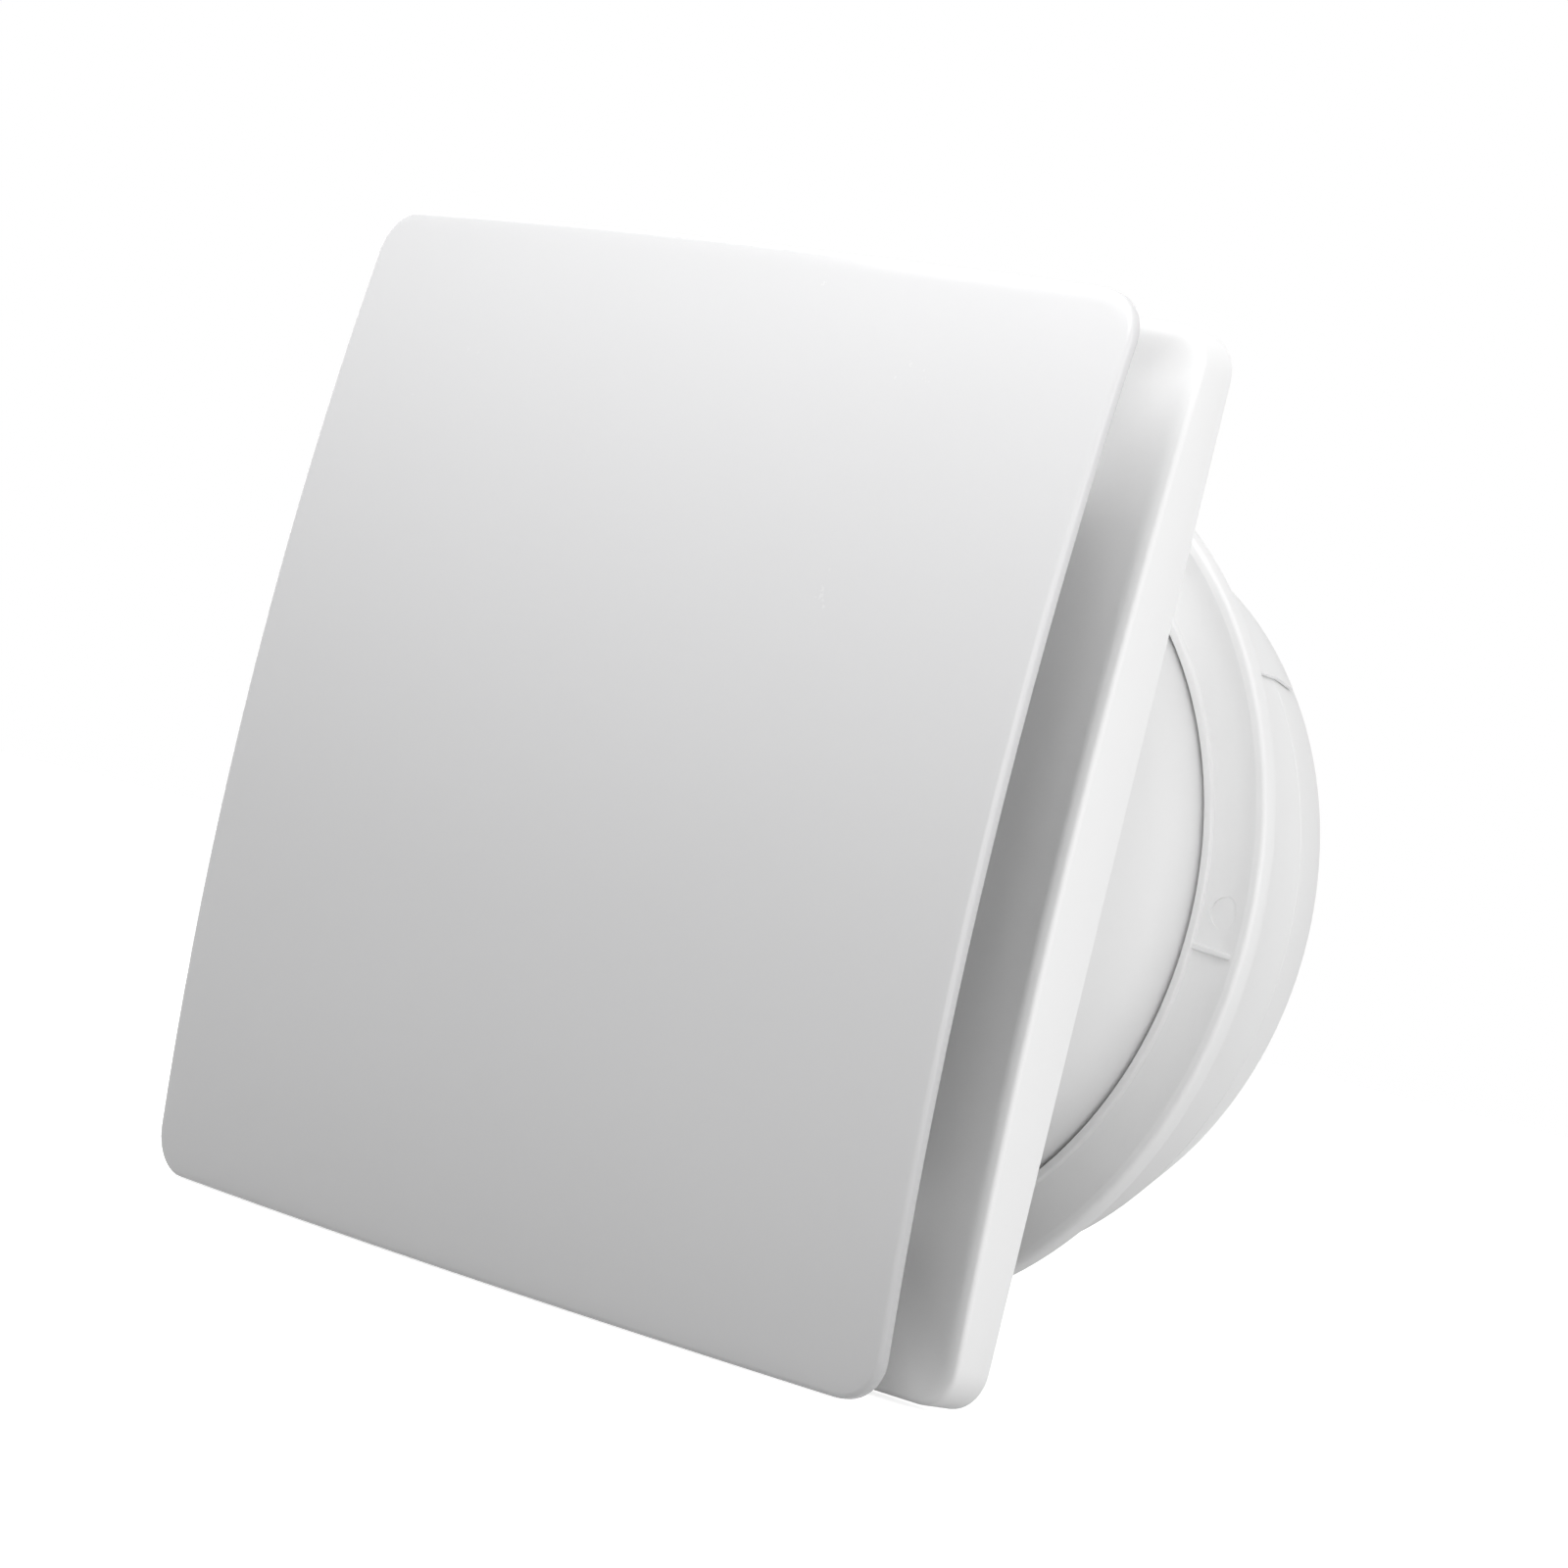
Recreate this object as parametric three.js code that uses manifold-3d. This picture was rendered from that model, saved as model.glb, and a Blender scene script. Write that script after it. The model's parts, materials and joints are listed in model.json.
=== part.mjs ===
// Window exhaust fan: a bowed square front panel that stands off a dished square frame,
// a round barrel through the window, and a telescoping outdoor ring with gravity shutters.
// Millimetres. +X right and +Z up seen from the room, +Y outdoors.
// The origin is on the fan axis, in the plane where the frame's back edge meets the window.

import * as THREE from 'three';
import { mergeVertices } from 'three/addons/utils/BufferGeometryUtils.js';
import Module from 'manifold-3d';

const wasm = await Module();
wasm.setup();

// ---------- fits ----------
const GAP = 0.3;                    // between pieces that touch
const RUN = 0.5;                    // round posts, pins and screws that slide

// ---------- front panel ----------
const PANEL_SIDE = 250;
const PANEL_CORNER = 11;
const PANEL_THICK = 3.3;
const PANEL_BOW = 8.4;              // how far the middle of each edge stands in front of its corners
const PANEL_STAND_OFF = 37.6;       // panel corner's front face to the frame's back edge
const PANEL_EDGE_ROUND = 1.1;
const POST_RADIUS = 4.2;
const POST_ROOM = 2.5;              // socket to the barrel's flange
const SOCKET_HEIGHT = 17;           // in front of the dish floor
const POST_GRIP = 14;               // length of post inside its socket
const POST_WALL = 2.4;

// ---------- front frame ----------
const FRAME_SIDE = 248;
const FRAME_CORNER = 10;
const FRAME_LIFT = 3.7;             // centre of frame and panel above the fan axis
const FRAME_CORNER_DEPTH = 10.2;
const FRAME_BOW = 5.4;
const FRAME_WALL = 2.6;
const FRAME_RIM_LAND = 3.2;         // flat top of the rim
const DISH_FLOOR = 5;               // floor of the dish in front of the frame's back edge
const DISH_FLAT = 7;                // flat floor round the throat
const SHELL = 2.4;
const RIB_THICK = 1.8;

// ---------- barrel and duct ----------
const BARREL_RADIUS = 95;
const BARREL_WALL = 2.5;
const DUCT_SPACE = 11.5;            // between duct and barrel
const DUCT_WALL = 2;
const DUCT_LENGTH = 66;
const MOUTH_FLARE = 4;
const WEB_BACK = 2.5;
const FLANGE_WIDTH = 13;
const FLANGE_EDGE = 2.7;            // outside the heads of its screws
const SHOULDER_WIDTH = 1.5;         // inside the barrel, behind the duct's web
const SHOULDER_THICK = 2;
const DUCT_BOSS_RADIUS = 5;
const DUCT_BOSS_SINK = 0.5;         // how far a boss runs into the duct's wall
const BRIDGE_SCREW_GRIP = 10;
const SLOT_CLEAR = 0.4;
const SLOT_END = 2.6;               // barrel left behind the lock slots
const GASKET_WIDTH = 4;
const GASKET_THICK = 3;

// ---------- inlet guard ----------
const GUARD_THICK = 2;
const GUARD_OVERLAP = 5;            // how far the guard's rim laps the dish floor
const GUARD_HUB = 16;
const GUARD_SLOT_RINGS = 3;
const GUARD_SPOKES = 6;
const GUARD_BAR = 3.4;

// ---------- motor ----------
const CAN_RADIUS = 32;
const CAN_WALL = 1.5;
const CAN_ROOM = 2;                 // impeller hub to the can
const COVER_THICK = 2.7;
const BEARING_RADIUS = 7;
const BEARING_LENGTH = 5.4;
const BOSS_WALL = 2.2;
const SHAFT_RADIUS = 2.5;
const SHAFT_PROUD = 0.5;            // in front of the nut
const CORE_LENGTH = 13;
const ROTOR_RADIUS = 15;
const AIR_GAP = 0.8;
const WINDING_HEIGHT = 3;
const BRIDGE_THICK = 3;
const BRIDGE_ARM = 10;
const BRIDGE_RIB = 3.6;
const MOTOR_SCREW_RING = 26;

// ---------- impeller ----------
const BLADES = 7;
const TIP_GAP = 2;
const HUB_RADIUS = 30;
const HUB_WALL = 2;
const HUB_FRONT = 12;
const HUB_LENGTH = 22;
const ROOT_PITCH = 46;              // degrees from the plane of rotation
const TIP_PITCH = 25;
const ROOT_CHORD = 27;
const TIP_CHORD = 46;
const BLADE_THICK = 2;
const NUT_ACROSS = 10;
const NUT_THICK = 3.2;

// ---------- outer ring, visor and shutters ----------
const RING_STAND_OFF = 66.8;        // frame's back edge to the ring's face, as photographed
const CHANNEL_WIDTH = 13.2;
const RING_FILLET = 2.4;
const SLEEVE_GAP = 0.9;             // all round the barrel
const SLEEVE_WALL = 2.7;
const LIP_WIDTH = 2.2;
const RIM_WIDTH = 2.6;
const CHANNEL_DEPTH = 2;
const LIP_DROP = 0.9;               // step from the lip into the channel
const RING_FLOOR = 2.2;
const RING_SKIRT = 4.8;
const CHANNEL_RIBS = 6;
const CHANNEL_RIB_TURN = -3.3;      // degrees
const CHANNEL_RIB_THICK = 1.6;
const CLAMP_TRAVEL = 15;
const CLAMP_STOP = 1;               // barrel to the spigot when clamped up
const VISOR_ARC = 100;              // degrees, centred on the top
const VISOR_THICK = 1.1;
const VISOR_ROOM = 1.5;             // behind the lock screw's head
const VISOR_SHORT = 4.2;            // visor's end to the hood's back edge
const CAP_LENGTH = 6.3;             // thick rim that carries the slats, behind the sleeve
const CAP_RIM = 12.6;
const HOOD_LENGTH = 16.2;           // whole shutter frame behind the sleeve
const HOOD_TAPER = 6.6;             // sleeve's radius less the hood's at its back edge
const HOOD_RAISE = 3;               // back edge's centre above the fan axis
const HOOD_WALL = 1.4;
const SPIGOT_LENGTH = 3;
const SPIGOT_WALL = 2.4;
const LEDGE_WIDTH = 5;
const LEDGE_THICK = 1.6;
const SLATS = 4;
const SLAT_BLANK = 17;              // closed part of the ledge above and below the slats
const SLAT_SPLIT = 1;               // open line between slats
const SLAT_THICK = 1.6;
const SLAT_CLEAR = 3;               // slat ends to the opening
const SLAT_LIP = 3;
const KNUCKLE_RADIUS = 1.9;
const PIN_RADIUS = 1;
const PIN_SEAT = 2.4;
const LOCK_ROOM = 1.6;              // lock screw's head to the ring's fillet

// ---------- fasteners and wiring ----------
const SCREW_RADIUS = 1.5;
const SCREW_HEAD = 2.8;
const SCREW_HEAD_THICK = 2;
const LOCK_RADIUS = 2;
const LOCK_HEAD = 4;
const LOCK_HEAD_THICK = 2.5;
const BOX_WIDTH = 30;
const BOX_SEAT = 0.4;               // terminal box to the duct
const BOX_ROOM = 2.5;               // terminal box to the barrel
const BOX_FRONT = 36;
const BOX_LENGTH = 24;
const BOX_WALL = 1.5;
const CABLE_RADIUS = 3.4;
const GROMMET_WALL = 1.4;
const GROMMET_TURN = -90;           // degrees round the barrel
const GROMMET_DEPTH = 20;

// ---------- places that follow from the sizes ----------
const PANEL_HALF = PANEL_SIDE / 2;
const FRAME_HALF = FRAME_SIDE / 2;
const BARREL_BORE = BARREL_RADIUS - BARREL_WALL;
const DUCT_RADIUS = BARREL_BORE - DUCT_SPACE;
const DUCT_BORE = DUCT_RADIUS - DUCT_WALL;
const THROAT = DUCT_BORE + MOUTH_FLARE;
const DISH_FLAT_RADIUS = THROAT + DISH_FLAT;
const FLANGE_RADIUS = BARREL_RADIUS + FLANGE_WIDTH;
const FLANGE_SCREW_RING = FLANGE_RADIUS - FLANGE_EDGE - SCREW_HEAD;
const BRIDGE_SCREW_RING = DUCT_RADIUS + DUCT_BOSS_RADIUS - DUCT_BOSS_SINK;
const WEB_FRONT = -(DISH_FLOOR - SHELL) + GAP;
const HUB_BACK = HUB_FRONT + HUB_LENGTH;
const CAN_FRONT = HUB_BACK + CAN_ROOM;
const SHAFT_NOSE = HUB_FRONT - GAP - NUT_THICK - SHAFT_PROUD;
const BRIDGE_FRONT = DUCT_LENGTH + GAP;
const BRIDGE_BACK = BRIDGE_FRONT + BRIDGE_THICK;
const COVER_FRONT = BRIDGE_FRONT - GAP - COVER_THICK;
const CAN_BACK = COVER_FRONT - GAP;
const CORE_FRONT = (CAN_FRONT + CAN_BACK) / 2 - CORE_LENGTH / 2;
const CORE_BACK = CORE_FRONT + CORE_LENGTH;
const SLEEVE_BORE = BARREL_RADIUS + SLEEVE_GAP;
const SLEEVE_RADIUS = SLEEVE_BORE + SLEEVE_WALL;
const RING_RADIUS = SLEEVE_BORE + LIP_WIDTH + CHANNEL_WIDTH + RIM_WIDTH;
const RING_FLANGE_BACK = RING_STAND_OFF + CHANNEL_DEPTH + RING_FLOOR;
const LOCK_SCREW_DEPTH = RING_FLANGE_BACK + RING_FILLET + LOCK_ROOM + LOCK_HEAD;
const BARREL_LENGTH = LOCK_SCREW_DEPTH + LOCK_RADIUS + SLOT_CLEAR + SLOT_END;
const SLEEVE_BACK = BARREL_LENGTH + CLAMP_TRAVEL + CLAMP_STOP + SPIGOT_LENGTH;
const VISOR_FRONT = LOCK_SCREW_DEPTH + LOCK_HEAD + VISOR_ROOM;
const CAP_FRONT = SLEEVE_BACK + GAP;
const CAP_BACK = CAP_FRONT + CAP_LENGTH;
const CAP_OPENING = SLEEVE_RADIUS - CAP_RIM;
const HOOD_BACK = CAP_FRONT + HOOD_LENGTH;
const VISOR_BACK = HOOD_BACK - VISOR_SHORT;
const LEDGE_OPENING = CAP_OPENING - LEDGE_WIDTH;
const SLAT_PITCH = 2 * (LEDGE_OPENING - SLAT_BLANK) / SLATS;
const LEDGE_BACK = CAP_FRONT + 0.5;
const PIN_DEPTH = LEDGE_BACK + KNUCKLE_RADIUS + GAP;
const SLAT_FRONT = PIN_DEPTH - 0.4;
const SLAT_RADIUS = CAP_OPENING - SLAT_CLEAR;
const SLAT_TOPS = Array.from({ length: SLATS }, (_, i) => (SLATS / 2 - i) * SLAT_PITCH);
const GUARD_BACK = -DISH_FLOOR - GAP;
const GUARD_FRONT = GUARD_BACK - GUARD_THICK;
const GUARD_RADIUS = THROAT + GUARD_OVERLAP;
const BRIDGE_TURNS = [90, 210, 330];
const MOTOR_TURNS = [30, 150, 270];
const CORNER_TURNS = [45, 135, 225, 315];
const BOX_TOP = -(DUCT_RADIUS + BOX_SEAT);
const BOX_HEIGHT = DUCT_SPACE - BOX_SEAT - BOX_ROOM;

// ---------- finishes ----------
const finish = (color, roughness, metalness) => () =>
  new THREE.MeshStandardMaterial({ color, roughness, metalness });
const PANEL_WHITE = finish(0xe4e4e5, 0.28, 0);
const CASE_WHITE = finish(0xf2f2f2, 0.4, 0);
const MOTOR_STEEL = finish(0xa9abad, 0.38, 0.9);
const SCREW_STEEL = finish(0xb9babb, 0.3, 1);
const CORE_STEEL = finish(0x6c6e71, 0.5, 0.8);
const COPPER = finish(0xb46a35, 0.4, 0.9);
const BRASS = finish(0xb8964e, 0.35, 0.9);
const FOAM = finish(0x3a3b3d, 0.95, 0);
const RUBBER = finish(0x262729, 0.7, 0);
const DARK_PLASTIC = finish(0x2e3033, 0.5, 0);

// ---------- solids ----------
const radians = THREE.MathUtils.degToRad;
const BIG_ROUND = 48;               // facets round the barrel and the outer ring
const MID_ROUND = 24;               // round the motor and the hub
const SMALL_ROUND = 16;
const VISOR_STEPS = 12;

function solid(geometry) {
  const bare = geometry.index ? geometry.toNonIndexed() : geometry.clone();
  bare.deleteAttribute('normal');
  bare.deleteAttribute('uv');
  const merged = mergeVertices(bare, 1e-4);
  const place = merged.attributes.position;
  const corners = [];
  let volume = 0;
  for (let i = 0; i < merged.index.count; i += 3) {
    const [a, b, c] = [0, 1, 2].map((k) => merged.index.getX(i + k));
    if (a === b || b === c || c === a) continue;
    corners.push(a, b, c);
    const [p, q, r] = [a, b, c].map((k) => new THREE.Vector3().fromBufferAttribute(place, k));
    volume += p.dot(q.cross(r));
  }
  if (volume < 0) corners.reverse();
  return new wasm.Manifold(new wasm.Mesh({
    numProp: 3,
    vertProperties: new Float32Array(place.array),
    triVerts: new Uint32Array(corners),
  }));
}

const join = (first, ...others) => others.reduce((whole, other) => whole.add(other), first);
const cut = (first, ...others) => others.reduce((whole, other) => whole.subtract(other), first);

// A round solid about the fan axis, from [radius, depth] points.
function turned(profile, segments = MID_ROUND) {
  const points = profile.map(([radius, depth]) => new THREE.Vector2(radius, depth));
  if (profile[0][0] > 0) points.push(points[0].clone());
  return solid(new THREE.LatheGeometry(points, segments));
}

// A plate parallel to the window, from an outline in X and Z.
function plate(outline, front, back, curveSegments = 4) {
  const shape = new THREE.ExtrudeGeometry(outline, { depth: back - front, bevelEnabled: false, curveSegments });
  shape.rotateX(Math.PI / 2);
  shape.translate(0, back, 0);
  return solid(shape);
}

function block(x0, x1, y0, y1, z0, z1) {
  const box = new THREE.BoxGeometry(x1 - x0, y1 - y0, z1 - z0);
  box.translate((x0 + x1) / 2, (y0 + y1) / 2, (z0 + z1) / 2);
  return solid(box);
}

// A round bar along the fan axis at X, Z.
function bar(radius, front, back, x = 0, z = 0, segments = 12) {
  const round = new THREE.CylinderGeometry(radius, radius, back - front, segments);
  round.translate(x, (front + back) / 2, z);
  return solid(round);
}

const polar = (radius, turn) => [radius * Math.cos(radians(turn)), radius * Math.sin(radians(turn))];

// Joins equal-length rings of points; ends are closed to their middle, or the last ring meets the first.
function skin(rings, loop = false) {
  const count = rings[0].length;
  const points = rings.flat();
  const faces = [];
  const rows = loop ? rings.length : rings.length - 1;
  for (let row = 0; row < rows; row++) {
    const next = (row + 1) % rings.length;
    for (let i = 0; i < count; i++) {
      const j = (i + 1) % count;
      const [a, b, c, d] = [row * count + i, row * count + j, next * count + j, next * count + i];
      faces.push(a, b, c, a, c, d);
    }
  }
  if (!loop) {
    for (const [row, flip] of [[0, true], [rings.length - 1, false]]) {
      const middle = new THREE.Vector3();
      rings[row].forEach((point) => middle.addScaledVector(point, 1 / count));
      const centre = points.push(middle) - 1;
      for (let i = 0; i < count; i++) {
        const edge = [row * count + i, row * count + (i + 1) % count];
        faces.push(centre, ...(flip ? edge.reverse() : edge));
      }
    }
  }
  const geometry = new THREE.BufferGeometry().setFromPoints(points);
  geometry.setIndex(faces);
  return solid(geometry);
}

// Points round a square with round corners, as [x, z] about its own middle.
function roundedSquare(half, corner, arcSteps = 4, sideSteps = 4) {
  const flat = half - corner;
  const points = [];
  for (let quarter = 0; quarter < 4; quarter++) {
    const turn = quarter * Math.PI / 2;
    const place = (x, z) => [x * Math.cos(turn) - z * Math.sin(turn), x * Math.sin(turn) + z * Math.cos(turn)];
    for (let i = 0; i < sideSteps; i++) points.push(place(half, -flat + 2 * flat * i / sideSteps));
    for (let i = 0; i < arcSteps; i++) {
      const angle = i / arcSteps * Math.PI / 2;
      points.push(place(flat + corner * Math.cos(angle), flat + corner * Math.sin(angle)));
    }
  }
  return points;
}

// How far a bowed square stands forward at [x, z]: nothing at its corners, twice the bow at its middle.
const bowAt = (x, z, half, bow) => bow * (2 - (x / half) ** 2 - (z / half) ** 2);

// ---------- scene ----------
const group = new THREE.Group();

function add(name, body, material) {
  const mesh = body.getMesh();
  const geometry = new THREE.BufferGeometry();
  geometry.setAttribute('position', new THREE.BufferAttribute(Float32Array.from(mesh.vertProperties), 3));
  geometry.setIndex(Array.from(mesh.triVerts));
  geometry.computeVertexNormals();
  const node = new THREE.Mesh(geometry, material());
  node.name = name;
  group.add(node);
}

function screw(headFront, tip, x, z, head = SCREW_HEAD, radius = SCREW_RADIUS, thick = SCREW_HEAD_THICK) {
  const away = Math.sign(headFront - tip);
  const ends = (a, b) => [Math.min(a, b), Math.max(a, b)];
  const shank = bar(radius, ...ends(headFront + away * thick / 2, tip), x, z, 8);
  return join(shank, bar(head, ...ends(headFront, headFront + away * thick), x, z, 12));
}

// ---------- front panel and its posts ----------
function panelRing(share, depth) {
  return roundedSquare(PANEL_HALF, PANEL_CORNER).map(([x, z]) => {
    const forward = bowAt(x * share, z * share, PANEL_HALF, PANEL_BOW);
    return new THREE.Vector3(x * share, depth - PANEL_STAND_OFF - forward, z * share + FRAME_LIFT);
  });
}

const edgeShare = 1 - PANEL_EDGE_ROUND / PANEL_HALF;
add('front_panel', skin([
  ...[0.2, 0.4, 0.6, 0.8, 0.93, edgeShare].map((share) => panelRing(share, 0)),
  panelRing(1, PANEL_EDGE_ROUND),
  panelRing(1, PANEL_THICK),
  ...[0.8, 0.55, 0.25].map((share) => panelRing(share, PANEL_THICK)),
]), PANEL_WHITE);

const SOCKET_RADIUS = POST_RADIUS + RUN + POST_WALL;
const POST_RING = FLANGE_RADIUS + POST_ROOM + SOCKET_RADIUS;
const POST_OFFSET = FRAME_LIFT / 2 + Math.sqrt(POST_RING ** 2 / 2 - FRAME_LIFT ** 2 / 4);
const POST_PLACES = [[1, 1], [-1, 1], [-1, -1], [1, -1]].map(([x, z]) => [x * POST_OFFSET, z * POST_OFFSET]);
const POST_BOW = bowAt(POST_OFFSET, POST_OFFSET, PANEL_HALF, PANEL_BOW);
const POST_SLOPE = 4 * PANEL_BOW * POST_OFFSET * POST_RADIUS / PANEL_HALF ** 2;
const POST_FRONT = PANEL_THICK - PANEL_STAND_OFF - POST_BOW + POST_SLOPE + GAP;
const SOCKET_FRONT = -DISH_FLOOR - SOCKET_HEIGHT;
const POST_TIP = SOCKET_FRONT + POST_GRIP;
POST_PLACES.forEach(([x, z], i) => {
  const body = bar(POST_RADIUS, POST_FRONT, POST_TIP - 2, x, z + FRAME_LIFT, 16);
  const nose = turned([[0, POST_TIP - 2.5], [POST_RADIUS, POST_TIP - 2.5], [POST_RADIUS - 1.6, POST_TIP], [0, POST_TIP]], 16);
  add(`panel_post_${i + 1}`, join(body, nose.translate([x, 0, z + FRAME_LIFT])), CASE_WHITE);
});

// ---------- front frame ----------
// One ring of the dish: share 0 is the round throat, 1 the square rim.
function frameRing(half, share, depth, bow, radius = THROAT) {
  return roundedSquare(half, FRAME_CORNER - (FRAME_HALF - half)).map(([x, z]) => {
    const turn = Math.atan2(z + FRAME_LIFT, x);
    const forward = FRAME_BOW * bow * (2 - (x / FRAME_HALF) ** 2 - (z / FRAME_HALF) ** 2);
    return new THREE.Vector3(
      THREE.MathUtils.lerp(radius * Math.cos(turn), x, share),
      -depth - forward,
      THREE.MathUtils.lerp(radius * Math.sin(turn), z + FRAME_LIFT, share),
    );
  });
}

const RIM_INNER = FRAME_HALF - FRAME_RIM_LAND;
const DISH_STEPS = [0.85, 0.68, 0.5, 0.32, 0.15];
function dishRings(inset, back) {
  const rise = FRAME_CORNER_DEPTH - DISH_FLOOR;
  return DISH_STEPS.map((share) =>
    frameRing(RIM_INNER - inset, share, DISH_FLOOR - back + rise * share ** 2, share ** 2, DISH_FLAT_RADIUS));
}
const frameBlock = skin([
  frameRing(FRAME_HALF, 1, 0, 0),
  frameRing(FRAME_HALF, 1, FRAME_CORNER_DEPTH - 1.6, 1),
  frameRing(FRAME_HALF - 1.4, 1, FRAME_CORNER_DEPTH, 1),
  frameRing(RIM_INNER, 1, FRAME_CORNER_DEPTH, 1),
  ...dishRings(0, 0),
  frameRing(RIM_INNER, 0, DISH_FLOOR, 0, DISH_FLAT_RADIUS),
  frameRing(RIM_INNER, 0, DISH_FLOOR, 0, THROAT),
  frameRing(RIM_INNER, 0, 0, 0, THROAT),
], true);
const hollow = skin([
  frameRing(FRAME_HALF - FRAME_WALL, 1, -2, 0),
  frameRing(FRAME_HALF - FRAME_WALL, 1, FRAME_CORNER_DEPTH - SHELL, 1),
  ...dishRings(0, SHELL),
  frameRing(RIM_INNER, 0, DISH_FLOOR - SHELL, 0, DISH_FLAT_RADIUS),
  frameRing(RIM_INNER, 0, DISH_FLOOR - SHELL, 0, THROAT - 2),
  frameRing(RIM_INNER, 0, -2, 0, THROAT - 2),
], true);

const ribs = [];
for (let turn = 0; turn < 180; turn += 45) {
  const long = block(-FRAME_SIDE, FRAME_SIDE, -20, -0.6, -RIB_THICK / 2, RIB_THICK / 2);
  ribs.push(long.rotate([0, turn, 0]));
}
const ribCore = bar(FLANGE_RADIUS + 0.8, -20, 5, 0, 0, MID_ROUND);
const ribRing = cut(join(ribs[0], ...ribs.slice(1)), ribCore);
const flangeBosses = CORNER_TURNS.map((turn) => bar(4.2, -20, WEB_FRONT - GAP, ...polar(FLANGE_SCREW_RING, turn)));
const socketBosses = POST_PLACES.map(([x, z]) =>
  bar(SOCKET_RADIUS, SOCKET_FRONT, -0.6, x, z + FRAME_LIFT, 16));
const socketBores = POST_PLACES.map(([x, z]) =>
  bar(POST_RADIUS + RUN, SOCKET_FRONT - 1, POST_TIP + 1, x, z + FRAME_LIFT, 16));
const flangeScrewTip = WEB_FRONT - 4.5;
const flangeScrewHoles = CORNER_TURNS.map((turn) =>
  bar(SCREW_RADIUS + GAP, flangeScrewTip - GAP, 5, ...polar(FLANGE_SCREW_RING, turn), 12));
const guardScrewTip = GUARD_BACK - GAP + 2.2;
const guardScrewHoles = BRIDGE_TURNS.map((turn) =>
  bar(SCREW_RADIUS + GAP, GUARD_FRONT - 1, guardScrewTip + GAP, ...polar(GUARD_RADIUS - 2.6, turn), 12));
const frameShell = cut(frameBlock, cut(hollow, ribRing, ...flangeBosses));
const shellWithSockets = cut(join(frameShell, ...socketBosses), ...socketBores);
add('front_frame', cut(shellWithSockets, ...flangeScrewHoles, ...guardScrewHoles), CASE_WHITE);

// ---------- inlet guard ----------
function arcSlot(inner, outer, from, to) {
  const slot = new THREE.Shape();
  slot.absarc(0, 0, outer, radians(from), radians(to), false);
  slot.absarc(0, 0, inner, radians(to), radians(from), true);
  slot.closePath();
  return slot;
}
const guardSlots = [];
const slotBand = (THROAT - 1 - GUARD_HUB) / GUARD_SLOT_RINGS;
for (let ring = 0; ring < GUARD_SLOT_RINGS; ring++) {
  const inner = GUARD_HUB + ring * slotBand;
  const outer = inner + slotBand - GUARD_BAR;
  const lost = THREE.MathUtils.radToDeg(GUARD_BAR / (inner + outer));
  for (let spoke = 0; spoke < GUARD_SPOKES; spoke++) {
    const from = 30 + spoke * 360 / GUARD_SPOKES + lost;
    const outline = arcSlot(inner, outer, from, from + 360 / GUARD_SPOKES - 2 * lost);
    guardSlots.push(plate(outline, GUARD_FRONT - 1, GUARD_BACK + 1, 3));
  }
}
const guardHoles = BRIDGE_TURNS.map((turn) =>
  bar(SCREW_RADIUS + GAP, GUARD_FRONT - 1, GUARD_BACK + 1, ...polar(GUARD_RADIUS - 2.6, turn), 12));
const guardDisc = bar(GUARD_RADIUS, GUARD_FRONT, GUARD_BACK, 0, 0, BIG_ROUND);
add('inlet_guard', cut(guardDisc, ...guardSlots, ...guardHoles), CASE_WHITE);
BRIDGE_TURNS.forEach((turn, i) => {
  add(`guard_screw_${i + 1}`,
    screw(GUARD_FRONT - GAP, guardScrewTip, ...polar(GUARD_RADIUS - 2.6, turn), 2.3), SCREW_STEEL);
});

// ---------- barrel: outer tube and flange, with a shoulder behind the duct's web ----------
const barrelTube = turned([
  [BARREL_BORE, WEB_FRONT], [FLANGE_RADIUS, WEB_FRONT], [FLANGE_RADIUS, 0], [BARREL_RADIUS, 0],
  [BARREL_RADIUS, BARREL_LENGTH], [BARREL_BORE, BARREL_LENGTH],
  [BARREL_BORE, WEB_BACK + GAP + SHOULDER_THICK], [BARREL_BORE - SHOULDER_WIDTH, WEB_BACK + GAP + SHOULDER_THICK],
  [BARREL_BORE - SHOULDER_WIDTH, WEB_BACK + GAP], [BARREL_BORE, WEB_BACK + GAP],
], BIG_ROUND);
const bridgeScrewTip = DUCT_LENGTH - BRIDGE_SCREW_GRIP;
const ductBosses = BRIDGE_TURNS.map((turn) =>
  bar(DUCT_BOSS_RADIUS, 1, DUCT_LENGTH, ...polar(BRIDGE_SCREW_RING, turn)));
const bridgeScrewHoles = BRIDGE_TURNS.map((turn) =>
  bar(SCREW_RADIUS + GAP, bridgeScrewTip - GAP, DUCT_LENGTH + 1, ...polar(BRIDGE_SCREW_RING, turn), 12));
const lockSlot = (side) => block(
  -LOCK_RADIUS - SLOT_CLEAR, LOCK_RADIUS + SLOT_CLEAR,
  LOCK_SCREW_DEPTH - CLAMP_TRAVEL - LOCK_RADIUS - SLOT_CLEAR, LOCK_SCREW_DEPTH + LOCK_RADIUS + SLOT_CLEAR,
  side > 0 ? BARREL_BORE - 3 : -BARREL_RADIUS - 2, side > 0 ? BARREL_RADIUS + 2 : -BARREL_BORE + 3,
);
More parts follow.
